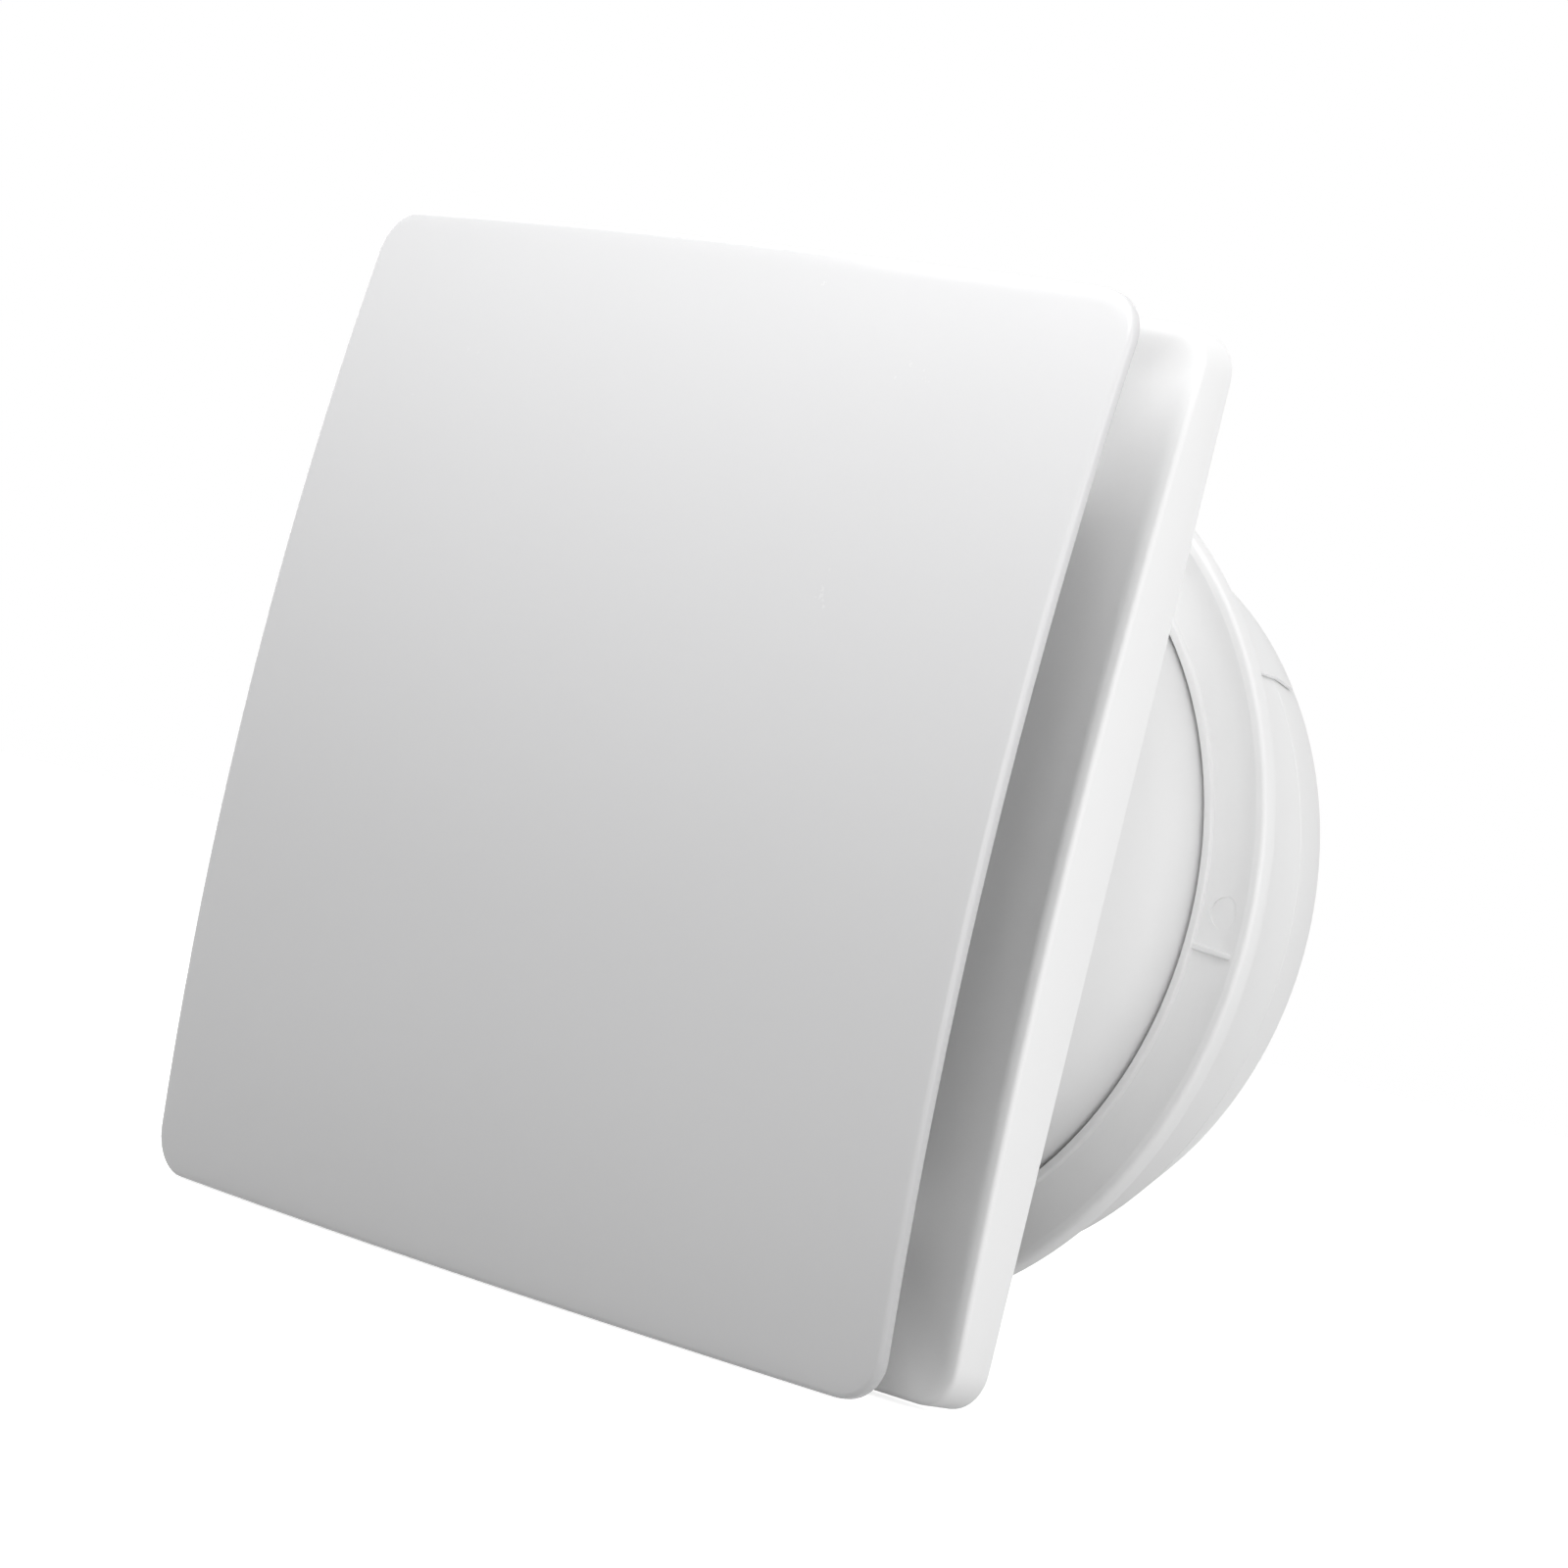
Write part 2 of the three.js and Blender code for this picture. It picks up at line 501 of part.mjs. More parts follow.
// A round bar that points out from the fan axis at a turn.
function spoke(radius, inner, outer, turn, depth, segments = 12) {
  const round = new THREE.CylinderGeometry(radius, radius, outer - inner, segments);
  round.rotateZ(-Math.PI / 2);
  round.translate((inner + outer) / 2, 0, 0);
  round.rotateY(-radians(turn));
  round.translate(0, depth, 0);
  return solid(round);
}
const grommetHole = spoke(CABLE_RADIUS + GROMMET_WALL + GAP, BARREL_BORE - 4, BARREL_RADIUS + 4, GROMMET_TURN, GROMMET_DEPTH);
add('barrel', cut(
  barrelTube, lockSlot(1), lockSlot(-1), grommetHole,
  ...CORNER_TURNS.map((turn) => bar(SCREW_RADIUS + GAP, WEB_FRONT - 1, 1, ...polar(FLANGE_SCREW_RING, turn), 12)),
), CASE_WHITE);

// ---------- fan duct: bell mouth, web and screw bosses, trapped between frame and barrel ----------
const ductTube = turned([
  [DUCT_BORE, MOUTH_FLARE], [DUCT_BORE + MOUTH_FLARE / 4, MOUTH_FLARE / 3], [THROAT - 0.6, WEB_FRONT],
  [BARREL_BORE - GAP, WEB_FRONT], [BARREL_BORE - GAP, WEB_BACK], [DUCT_RADIUS, WEB_BACK],
  [DUCT_RADIUS, DUCT_LENGTH], [DUCT_BORE, DUCT_LENGTH],
], BIG_ROUND);
add('fan_duct', cut(join(ductTube, ...ductBosses), ...bridgeScrewHoles), CASE_WHITE);
CORNER_TURNS.forEach((turn, i) => {
  add(`flange_screw_${i + 1}`, screw(GAP, flangeScrewTip, ...polar(FLANGE_SCREW_RING, turn)), SCREW_STEEL);
});
add('window_gasket', turned([
  [BARREL_RADIUS + 0.4, GAP], [BARREL_RADIUS + 0.4 + GASKET_WIDTH, GAP],
  [BARREL_RADIUS + 0.4 + GASKET_WIDTH, GASKET_THICK], [BARREL_RADIUS + 0.4, GASKET_THICK],
], 72), FOAM);
const grommet = join(
  spoke(CABLE_RADIUS + GROMMET_WALL, BARREL_BORE - 1.6, BARREL_RADIUS + 2.4, GROMMET_TURN, GROMMET_DEPTH),
  spoke(CABLE_RADIUS + GROMMET_WALL + 2, BARREL_RADIUS + 0.5, BARREL_RADIUS + 2.4, GROMMET_TURN, GROMMET_DEPTH),
);
add('cable_grommet', cut(
  grommet, spoke(CABLE_RADIUS, BARREL_BORE - 5, BARREL_RADIUS + 5, GROMMET_TURN, GROMMET_DEPTH)), RUBBER);

// ---------- terminal box between duct and barrel ----------
const boxBottom = BOX_TOP - BOX_HEIGHT;
const boxBack = BOX_FRONT + BOX_LENGTH;
const boxShell = block(-BOX_WIDTH / 2, BOX_WIDTH / 2, BOX_FRONT, boxBack, boxBottom, BOX_TOP);
const boxRoom = block(-BOX_WIDTH / 2 + BOX_WALL, BOX_WIDTH / 2 - BOX_WALL,
  BOX_FRONT + BOX_WALL, boxBack + 1, boxBottom + BOX_WALL, BOX_TOP - BOX_WALL);
add('terminal_box', cut(boxShell, boxRoom), DARK_PLASTIC);
add('terminal_lid', join(
  block(-BOX_WIDTH / 2, BOX_WIDTH / 2, boxBack + GAP, boxBack + GAP + BOX_WALL, boxBottom, BOX_TOP),
  block(-BOX_WIDTH / 2 + BOX_WALL + GAP, BOX_WIDTH / 2 - BOX_WALL - GAP, boxBack - 1.5, boxBack + GAP + 0.1,
    boxBottom + BOX_WALL + GAP, BOX_TOP - BOX_WALL - GAP)), DARK_PLASTIC);
const blockCore = block(-BOX_WIDTH / 2 + BOX_WALL + 2, BOX_WIDTH / 2 - BOX_WALL - 2,
  BOX_FRONT + BOX_WALL + GAP, boxBack - 6, boxBottom + BOX_WALL + GAP, BOX_TOP - BOX_WALL - GAP);
const wireHoles = [-7, 0, 7].map((x) => bar(1.4, BOX_FRONT + BOX_WALL + 8, boxBack, x, (boxBottom + BOX_TOP) / 2, 12));
add('terminal_block', cut(blockCore, ...wireHoles), CASE_WHITE);

// ---------- motor ----------
const bearingSeat = BEARING_RADIUS + GAP;
const bossRadius = bearingSeat + BOSS_WALL;
add('motor_can', turned([
  [bearingSeat, CAN_FRONT], [CAN_RADIUS - 4, CAN_FRONT], [CAN_RADIUS - 1.2, CAN_FRONT + 1.2],
  [CAN_RADIUS, CAN_FRONT + 4], [CAN_RADIUS, CAN_BACK], [CAN_RADIUS - CAN_WALL, CAN_BACK],
  [CAN_RADIUS - CAN_WALL, CAN_FRONT + 4.4], [CAN_RADIUS - 4.6, CAN_FRONT + CAN_WALL],
  [bossRadius, CAN_FRONT + CAN_WALL], [bossRadius, CAN_FRONT + BEARING_LENGTH + GAP],
  [bearingSeat, CAN_FRONT + BEARING_LENGTH + GAP],
]), MOTOR_STEEL);
const bridgeHole = (ring, turn) => bar(SCREW_RADIUS + GAP, COVER_FRONT - 5, BRIDGE_BACK + 8, ...polar(ring, turn), 12);
const coverDisc = turned([
  [bearingSeat, BRIDGE_FRONT - GAP - BEARING_LENGTH - GAP], [bossRadius, BRIDGE_FRONT - GAP - BEARING_LENGTH - GAP],
  [bossRadius, COVER_FRONT], [CAN_RADIUS, COVER_FRONT], [CAN_RADIUS, BRIDGE_FRONT - GAP],
  [bearingSeat, BRIDGE_FRONT - GAP],
]);
add('motor_end_cover', cut(coverDisc, ...MOTOR_TURNS.map((turn) => bridgeHole(MOTOR_SCREW_RING, turn))), MOTOR_STEEL);
const statorRadius = CAN_RADIUS - CAN_WALL - GAP;
const statorBore = ROTOR_RADIUS + AIR_GAP;
const ringSolid = (inner, outer, front, back, segments) =>
  turned([[inner, front], [outer, front], [outer, back], [inner, back]], segments);
add('stator_core', ringSolid(statorBore, statorRadius, CORE_FRONT, CORE_BACK), CORE_STEEL);
const windingProfile = (front, back) => [
  [statorBore + 2, front + 0.8], [statorBore + 3, front], [statorRadius - 4, front], [statorRadius - 3, front + 0.8],
  [statorRadius - 3, back - 0.8], [statorRadius - 4, back], [statorBore + 3, back], [statorBore + 2, back - 0.8],
];
add('winding_front', turned(windingProfile(CORE_FRONT - GAP - WINDING_HEIGHT, CORE_FRONT - GAP), SMALL_ROUND), COPPER);
add('winding_rear', turned(windingProfile(CORE_BACK + GAP, CORE_BACK + GAP + WINDING_HEIGHT), SMALL_ROUND), COPPER);
add('rotor_core', ringSolid(SHAFT_RADIUS + GAP, ROTOR_RADIUS, CORE_FRONT, CORE_BACK, SMALL_ROUND), CORE_STEEL);
add('motor_shaft', bar(SHAFT_RADIUS, SHAFT_NOSE, BRIDGE_FRONT - GAP - 0.5, 0, 0, SMALL_ROUND), SCREW_STEEL);
const bearing = (front) => ringSolid(SHAFT_RADIUS + GAP, BEARING_RADIUS, front, front + BEARING_LENGTH, SMALL_ROUND);
add('bearing_front', bearing(CAN_FRONT + GAP), BRASS);
add('bearing_rear', bearing(BRIDGE_FRONT - 2 * GAP - BEARING_LENGTH), BRASS);

const bridgeHub = bar(CAN_RADIUS + 2, BRIDGE_FRONT, BRIDGE_BACK, 0, 0, MID_ROUND);
const bridgeArm = (turn) => join(
  block(10, BRIDGE_SCREW_RING + DUCT_BOSS_RADIUS, BRIDGE_FRONT, BRIDGE_BACK, -BRIDGE_ARM / 2, BRIDGE_ARM / 2),
  block(10, BRIDGE_SCREW_RING - 8, BRIDGE_BACK - 1, BRIDGE_BACK + BRIDGE_RIB, -1.1, 1.1),
).rotate([0, -turn, 0]);
add('motor_bridge', cut(
  join(bridgeHub, ...BRIDGE_TURNS.map(bridgeArm)),
  bar(5, BRIDGE_FRONT - 1, BRIDGE_BACK + 8),
  ...MOTOR_TURNS.map((turn) => bridgeHole(MOTOR_SCREW_RING, turn)),
  ...BRIDGE_TURNS.map((turn) => bridgeHole(BRIDGE_SCREW_RING, turn)),
), CASE_WHITE);
BRIDGE_TURNS.forEach((turn, i) => {
  add(`bridge_screw_${i + 1}`, screw(BRIDGE_BACK + GAP, bridgeScrewTip, ...polar(BRIDGE_SCREW_RING, turn)), SCREW_STEEL);
});
MOTOR_TURNS.forEach((turn, i) => {
  add(`motor_screw_${i + 1}`, screw(BRIDGE_BACK + GAP, COVER_FRONT + 0.4, ...polar(MOTOR_SCREW_RING, turn)), SCREW_STEEL);
});

// ---------- impeller ----------
const bladeTip = DUCT_BORE - TIP_GAP;
function bladeSection(radius, turn) {
  const share = (radius - HUB_RADIUS) / (bladeTip - HUB_RADIUS);
  const pitch = radians(THREE.MathUtils.lerp(ROOT_PITCH, TIP_PITCH, share));
  const chord = THREE.MathUtils.lerp(ROOT_CHORD, TIP_CHORD, share);
  const thick = BLADE_THICK * (1 - 0.35 * share);
  const sweep = radians(14) * share;
  const outline = [[-0.5, 0], [-0.28, 0.5], [0.05, 0.62], [0.3, 0.4], [0.5, 0], [0.25, -0.38], [0, -0.38], [-0.3, -0.3]];
  return outline.map(([along, across]) => {
    const camber = 0.07 * chord * (1 - (2 * along) ** 2);
    const normal = across * thick + camber;
    const around = along * chord * Math.cos(pitch) - normal * Math.sin(pitch);
    const depth = along * chord * Math.sin(pitch) + normal * Math.cos(pitch);
    const angle = radians(turn) + sweep + around / radius;
    return new THREE.Vector3(radius * Math.cos(angle), HUB_FRONT + HUB_LENGTH / 2 + depth, radius * Math.sin(angle));
  });
}
const hub = turned([
  [SHAFT_RADIUS + GAP, HUB_FRONT], [HUB_RADIUS - 6, HUB_FRONT], [HUB_RADIUS - 1.6, HUB_FRONT + 1.6],
  [HUB_RADIUS, HUB_FRONT + 6], [HUB_RADIUS, HUB_BACK], [HUB_RADIUS - HUB_WALL, HUB_BACK],
  [HUB_RADIUS - HUB_WALL, HUB_FRONT + 6.4], [HUB_RADIUS - 6.6, HUB_FRONT + HUB_WALL],
  [7, HUB_FRONT + HUB_WALL], [7, HUB_BACK - 3], [SHAFT_RADIUS + GAP, HUB_BACK - 3],
]);
const blades = [];
for (let i = 0; i < BLADES; i++) {
  const stations = [HUB_RADIUS - 1, 40, 52, 65, bladeTip];
  blades.push(skin(stations.map((radius) => bladeSection(radius, i * 360 / BLADES))));
}
add('impeller', join(hub, ...blades), CASE_WHITE);
const nutBar = new THREE.CylinderGeometry(NUT_ACROSS / Math.sqrt(3), NUT_ACROSS / Math.sqrt(3), NUT_THICK, 6);
nutBar.translate(0, HUB_FRONT - GAP - NUT_THICK / 2, 0);
add('impeller_nut', cut(solid(nutBar), bar(SHAFT_RADIUS + GAP, 0, HUB_FRONT, 0, 0, 24)), BRASS);

// ---------- outer ring: clamping flange and telescoping sleeve ----------
const ringFace = RING_STAND_OFF;
const channelFloor = ringFace + CHANNEL_DEPTH;
const channelAt = (share) => SLEEVE_BORE + LIP_WIDTH + share * CHANNEL_WIDTH;
const ringTurned = turned([
  [SLEEVE_BORE, ringFace], [channelAt(0), ringFace], [channelAt(0.03), ringFace + LIP_DROP],
  [channelAt(0.35), channelFloor], [channelAt(0.6), channelFloor], [channelAt(0.85), ringFace + LIP_DROP],
  [channelAt(1), ringFace], [RING_RADIUS - 1, ringFace],
  [RING_RADIUS, ringFace + 1], [RING_RADIUS, ringFace + RING_SKIRT], [RING_RADIUS - 2.2, ringFace + RING_SKIRT],
  [RING_RADIUS - 2.6, RING_FLANGE_BACK], [SLEEVE_RADIUS + RING_FILLET, RING_FLANGE_BACK],
  [SLEEVE_RADIUS, RING_FLANGE_BACK + RING_FILLET], [SLEEVE_RADIUS, SLEEVE_BACK], [SLEEVE_BORE, SLEEVE_BACK],
], BIG_ROUND);
const channelRibs = Array.from({ length: CHANNEL_RIBS }, (_, i) => block(
  channelAt(0) - 0.8, channelAt(1) + 0.8, ringFace + 0.4, channelFloor + 0.8,
  -CHANNEL_RIB_THICK / 2, CHANNEL_RIB_THICK / 2,
).rotate([0, -(CHANNEL_RIB_TURN + i * 360 / CHANNEL_RIBS), 0]));
const lockHoles = [90, 270].map((turn) =>
  spoke(LOCK_RADIUS + GAP, SLEEVE_BORE - 3, SLEEVE_RADIUS + 3, turn, LOCK_SCREW_DEPTH));
add('outer_ring', cut(join(ringTurned, ...channelRibs), ...lockHoles), CASE_WHITE);
[['top', 90], ['bottom', 270]].forEach(([name, turn]) => {
  const shank = spoke(LOCK_RADIUS, BARREL_BORE - 0.5, SLEEVE_RADIUS + GAP + 0.5, turn, LOCK_SCREW_DEPTH);
  const head = spoke(LOCK_HEAD, SLEEVE_RADIUS + GAP, SLEEVE_RADIUS + GAP + LOCK_HEAD_THICK, turn, LOCK_SCREW_DEPTH);
  add(`lock_screw_${name}`, join(shank, head), SCREW_STEEL);
});

// A point on the sleeve, or behind it on the tapered hood, whose back edge is raised.
function hoodPoint(turn, depth, proud) {
  const share = Math.max(0, (depth - CAP_FRONT) / HOOD_LENGTH);
  const [x, z] = polar(SLEEVE_RADIUS - HOOD_TAPER * share + proud, turn);
  return new THREE.Vector3(x, depth, z + HOOD_RAISE * share);
}
function visorPart(front, back) {
  const rings = [];
  for (let step = 0; step <= VISOR_STEPS; step++) {
    const turn = 90 - VISOR_ARC / 2 + VISOR_ARC * step / VISOR_STEPS;
    const corners = [[front, GAP], [front, GAP + VISOR_THICK], [back, GAP + VISOR_THICK], [back, GAP]];
    rings.push(corners.map(([depth, proud]) => hoodPoint(turn, depth, proud)));
  }
  return skin(rings);
}
add('rain_visor', join(visorPart(VISOR_FRONT, CAP_FRONT), visorPart(CAP_FRONT, VISOR_BACK)), CASE_WHITE);

// ---------- shutter frame, slats and pins ----------
// The part of a disc between two heights.
function discStrip(radius, low, high) {
  const outline = new THREE.Shape();
  const from = Math.asin(low / radius);
  const to = Math.asin(high / radius);
  outline.absarc(0, 0, radius, from, to, false);
  outline.absarc(0, 0, radius, Math.PI - to, Math.PI - from, false);
  return outline;
}
const capSpigot = turned([
  [SLEEVE_BORE - GAP - SPIGOT_WALL, SLEEVE_BACK - SPIGOT_LENGTH], [SLEEVE_BORE - GAP, SLEEVE_BACK - SPIGOT_LENGTH],
  [SLEEVE_BORE - GAP, CAP_FRONT + 1], [CAP_OPENING, CAP_FRONT + 1], [CAP_OPENING, LEDGE_BACK - LEDGE_THICK],
  [SLEEVE_BORE - GAP - SPIGOT_WALL, LEDGE_BACK - LEDGE_THICK],
], BIG_ROUND);
const hoodRing = (depth, proud) =>
  Array.from({ length: BIG_ROUND }, (_, i) => hoodPoint(i * 360 / BIG_ROUND, depth, proud));
const hood = cut(
  skin([hoodRing(CAP_FRONT, 0), hoodRing(HOOD_BACK, 0)]),
  bar(CAP_OPENING, CAP_FRONT - 1, CAP_BACK + 1, 0, 0, BIG_ROUND),
  skin([hoodRing(CAP_BACK, -HOOD_WALL), hoodRing(HOOD_BACK + 1, -HOOD_WALL)]),
);
const ledge = bar(CAP_OPENING + 1, LEDGE_BACK - LEDGE_THICK, LEDGE_BACK, 0, 0, BIG_ROUND);
const windows = SLAT_TOPS.map((top) => {
  const outline = discStrip(LEDGE_OPENING, top - SLAT_PITCH + 3.5, top - 4.5);
  return plate(outline, LEDGE_BACK - LEDGE_THICK - 1, LEDGE_BACK + 1);
});
const stops = SLAT_TOPS.map((top) => {
  const low = top - SLAT_PITCH + 1.6;
  const reach = Math.sqrt(CAP_OPENING ** 2 - Math.max(low ** 2, (low + 1.7) ** 2)) - 1;
  return block(-reach, reach, LEDGE_BACK - 0.5, SLAT_FRONT - GAP, low, low + 1.7);
});
const pinHeight = (top) => top - KNUCKLE_RADIUS;
const pinReach = (top) => Math.sqrt(CAP_OPENING ** 2 - pinHeight(top) ** 2) + PIN_SEAT;
function crossBar(radius, reach, height) {
  const round = new THREE.CylinderGeometry(radius, radius, 2 * reach, 10);
  round.rotateZ(Math.PI / 2);
  round.translate(0, PIN_DEPTH, height);
  return solid(round);
}
add('shutter_frame', cut(
  join(capSpigot, hood, cut(ledge, ...windows), ...stops),
  ...SLAT_TOPS.map((top) => crossBar(PIN_RADIUS + GAP, pinReach(top) + GAP, pinHeight(top))),
), CASE_WHITE);
SLAT_TOPS.forEach((top, i) => {
  const low = top - SLAT_PITCH + SLAT_SPLIT;
  const sheet = plate(discStrip(SLAT_RADIUS, low, top - 1), SLAT_FRONT, SLAT_FRONT + SLAT_THICK);
  const endAt = (height) => Math.sqrt(SLAT_RADIUS ** 2 - height ** 2) - 0.6;
  const knuckleReach = Math.min(endAt(top), endAt(top - 2 * KNUCKLE_RADIUS));
  const lipReach = Math.min(endAt(low), endAt(low + SLAT_THICK));
  const lip = block(-lipReach, lipReach, SLAT_FRONT + 0.5, SLAT_FRONT + SLAT_THICK + SLAT_LIP, low, low + SLAT_THICK);
  const knuckle = crossBar(KNUCKLE_RADIUS, knuckleReach, pinHeight(top));
  const bore = crossBar(PIN_RADIUS + GAP, SLAT_RADIUS + 2, pinHeight(top));
  add(`shutter_slat_${i + 1}`, cut(join(sheet, lip, knuckle), bore), CASE_WHITE);
  add(`shutter_pin_${i + 1}`, crossBar(PIN_RADIUS, pinReach(top), pinHeight(top)), SCREW_STEEL);
});

export default group;
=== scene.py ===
import json
from math import asin, atan2, cos, hypot, pi, radians, sin, sqrt, tan

import bmesh
import bpy
from mathutils import Matrix, Vector


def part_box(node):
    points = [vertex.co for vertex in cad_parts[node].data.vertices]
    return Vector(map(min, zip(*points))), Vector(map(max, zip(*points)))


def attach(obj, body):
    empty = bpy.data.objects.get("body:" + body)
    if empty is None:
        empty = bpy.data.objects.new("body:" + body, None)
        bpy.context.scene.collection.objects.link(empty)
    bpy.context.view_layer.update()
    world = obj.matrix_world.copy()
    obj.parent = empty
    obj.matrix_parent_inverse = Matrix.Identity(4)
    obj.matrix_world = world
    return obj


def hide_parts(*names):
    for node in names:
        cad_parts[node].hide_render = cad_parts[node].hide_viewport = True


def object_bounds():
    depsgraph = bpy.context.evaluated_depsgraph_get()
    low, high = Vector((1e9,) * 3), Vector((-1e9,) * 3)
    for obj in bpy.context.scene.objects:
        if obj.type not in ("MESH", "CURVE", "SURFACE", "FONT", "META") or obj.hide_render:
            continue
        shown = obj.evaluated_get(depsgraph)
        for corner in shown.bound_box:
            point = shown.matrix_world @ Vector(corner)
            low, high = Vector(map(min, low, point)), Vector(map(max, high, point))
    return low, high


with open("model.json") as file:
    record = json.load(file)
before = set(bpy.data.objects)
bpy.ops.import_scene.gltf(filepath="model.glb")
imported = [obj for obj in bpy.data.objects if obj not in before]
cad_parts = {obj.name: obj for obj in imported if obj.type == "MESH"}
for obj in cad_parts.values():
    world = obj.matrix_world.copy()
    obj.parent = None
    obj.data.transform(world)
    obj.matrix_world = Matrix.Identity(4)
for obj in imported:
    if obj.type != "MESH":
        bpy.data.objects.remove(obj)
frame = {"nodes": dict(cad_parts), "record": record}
cad_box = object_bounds()

MM = 0.001
NODES = frame["nodes"]


def span(node):
    """Lowest and highest corner of a solid of the frame, in millimetres."""
    low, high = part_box(node)
    return low / MM, high / MM


# ---------- sizes, in millimetres ----------
GAP = 0.3

frame_low, frame_high = span("front_frame")
LIFT = (frame_low.z + frame_high.z) / 2
FRAME_HALF = (frame_high.x - frame_low.x) / 2
FRAME_CORNER = 10
FRAME_CORNER_DEPTH = 10.2
FRAME_BOW = 5.4
FRAME_WALL = 2.6
FRAME_FOOT = 0.4
RIM_LAND = 3.2
RIM_ROUND = 1.2
RIM_ROLL = 0.7
DISH_FLOOR = 5
SHELL = 2.4

panel_low, panel_high = span("front_panel")
PANEL_HALF = (panel_high.x - panel_low.x) / 2
PANEL_CORNER = 11
PANEL_BOW = 8.4
PANEL_STAND_OFF = 37.6
PANEL_THICK = 3.3
PANEL_EDGE = 1.1

barrel_low, barrel_high = span("barrel")
FLANGE_RADIUS = barrel_high.x
BARREL_RADIUS = 95
BARREL_WALL = 2.5
BARREL_BORE = BARREL_RADIUS - BARREL_WALL
BARREL_LENGTH = barrel_high.y
WEB_FRONT = barrel_low.y

DUCT_LENGTH = span("fan_duct")[1].y
DUCT_RADIUS = BARREL_BORE - 11.5
DUCT_WALL = 2
DUCT_BORE = DUCT_RADIUS - DUCT_WALL
MOUTH_FLARE = 4
THROAT = DUCT_BORE + MOUTH_FLARE
DISH_FLAT_RADIUS = THROAT + 7
WEB_BACK = 2.5

ring_low, ring_high = span("outer_ring")
RING_FACE = ring_low.y
RING_RADIUS = ring_high.x
CHANNEL_DEPTH = 2
LIP_DROP = 0.9
LIP_WIDTH = 2.2
RIM_WIDTH = 2.6
RING_FLOOR = 2.2
RING_FLOOR_FRONT = RING_FACE + CHANNEL_DEPTH
RING_FLOOR_BACK = RING_FLOOR_FRONT + RING_FLOOR
RING_SKIRT = 4.8
SLEEVE_GAP = 0.9
SLEEVE_WALL = 2.7
SLEEVE_BORE = BARREL_RADIUS + SLEEVE_GAP
SLEEVE_RADIUS = SLEEVE_BORE + SLEEVE_WALL
SLEEVE_BACK = ring_high.y
LIP_OUTER = SLEEVE_BORE + LIP_WIDTH
RIM_INNER_RADIUS = RING_RADIUS - RIM_WIDTH

cap_low, cap_high = span("shutter_frame")
CAP_FRONT = SLEEVE_BACK + GAP
CAP_RIM = 12.6
CAP_LENGTH = 6.3
CAP_BACK = CAP_FRONT + CAP_LENGTH
HOOD_BACK = cap_high.y
HOOD_TAPER = 6.6
HOOD_RAISE = 3
HOOD_WALL = 1.4

BRIDGE_TURNS = (90, 210, 330)
MOTOR_TURNS = (30, 150, 270)


# ---------- forms ----------
def form(points, faces):
    """A mesh object from points in millimetres."""
    mesh = bpy.data.meshes.new("form")
    mesh.from_pydata([Vector(p) * MM for p in points], [], faces)
    work = bmesh.new()
    work.from_mesh(mesh)
    bmesh.ops.remove_doubles(work, verts=work.verts, dist=1e-7)
    bmesh.ops.recalc_face_normals(work, faces=work.faces)
    work.to_mesh(mesh)
    work.free()
    thing = bpy.data.objects.new("form", mesh)
    bpy.context.scene.collection.objects.link(thing)
    return thing


def discard(thing):
    mesh = thing.data
    bpy.data.objects.remove(thing)
    bpy.data.meshes.remove(mesh)


def joined(*forms):
    """All forms in one mesh, as shells that may lie in each other."""
    work = bmesh.new()
    for thing in forms:
        work.from_mesh(thing.data)
    mesh = bpy.data.meshes.new("form")
    work.to_mesh(mesh)
    work.free()
    for thing in forms[1:]:
        discard(thing)
    old = forms[0].data
    forms[0].data = mesh
    bpy.data.meshes.remove(old)
    return forms[0]


def applied(thing, kind, **settings):
    """The form with one modifier made part of its mesh."""
    step = thing.modifiers.new(kind, kind)
    for name, value in settings.items():
        setattr(step, name, value)
    graph = bpy.context.evaluated_depsgraph_get()
    mesh = bpy.data.meshes.new_from_object(thing.evaluated_get(graph))
    thing.modifiers.clear()
    old = thing.data
    thing.data = mesh
    bpy.data.meshes.remove(old)
    return thing


def carved(body, tool, operation="DIFFERENCE"):
    applied(body, "BOOLEAN", object=tool, operation=operation, solver="EXACT")
    discard(tool)
    return body


def softened(thing, width, segments=2, angle=32):
    """The form with its sharp edges rounded."""
    return applied(
        thing, "BEVEL", width=width * MM, segments=segments,
        limit_method="ANGLE", angle_limit=radians(angle), miter_outer="MITER_ARC",
    )


def moved(thing, matrix):
    thing.data.transform(matrix)
    if matrix.determinant() < 0:
        thing.data.flip_normals()
    return thing


def shifted(thing, x=0, y=0, z=0):
    return moved(thing, Matrix.Translation(Vector((x, y, z)) * MM))


def spun(thing, turn):
    """Turned about the fan axis, in degrees from +X towards +Z."""
    return moved(thing, Matrix.Rotation(-radians(turn), 4, "Y"))


def aimed(thing, direction):
    """A form made along +Y, turned to point another way."""
    turn = Vector((0, 1, 0)).rotation_difference(Vector(direction))
    return moved(thing, turn.to_matrix().to_4x4())


def copied(thing):
    other = thing.copy()
    other.data = thing.data.copy()
    bpy.context.scene.collection.objects.link(other)
    return other


def around(thing, turns):
    """Copies of a form at each turn round the fan axis, in one mesh."""
    copies = [spun(copied(thing), turn) for turn in turns]
    discard(thing)
    return joined(*copies)


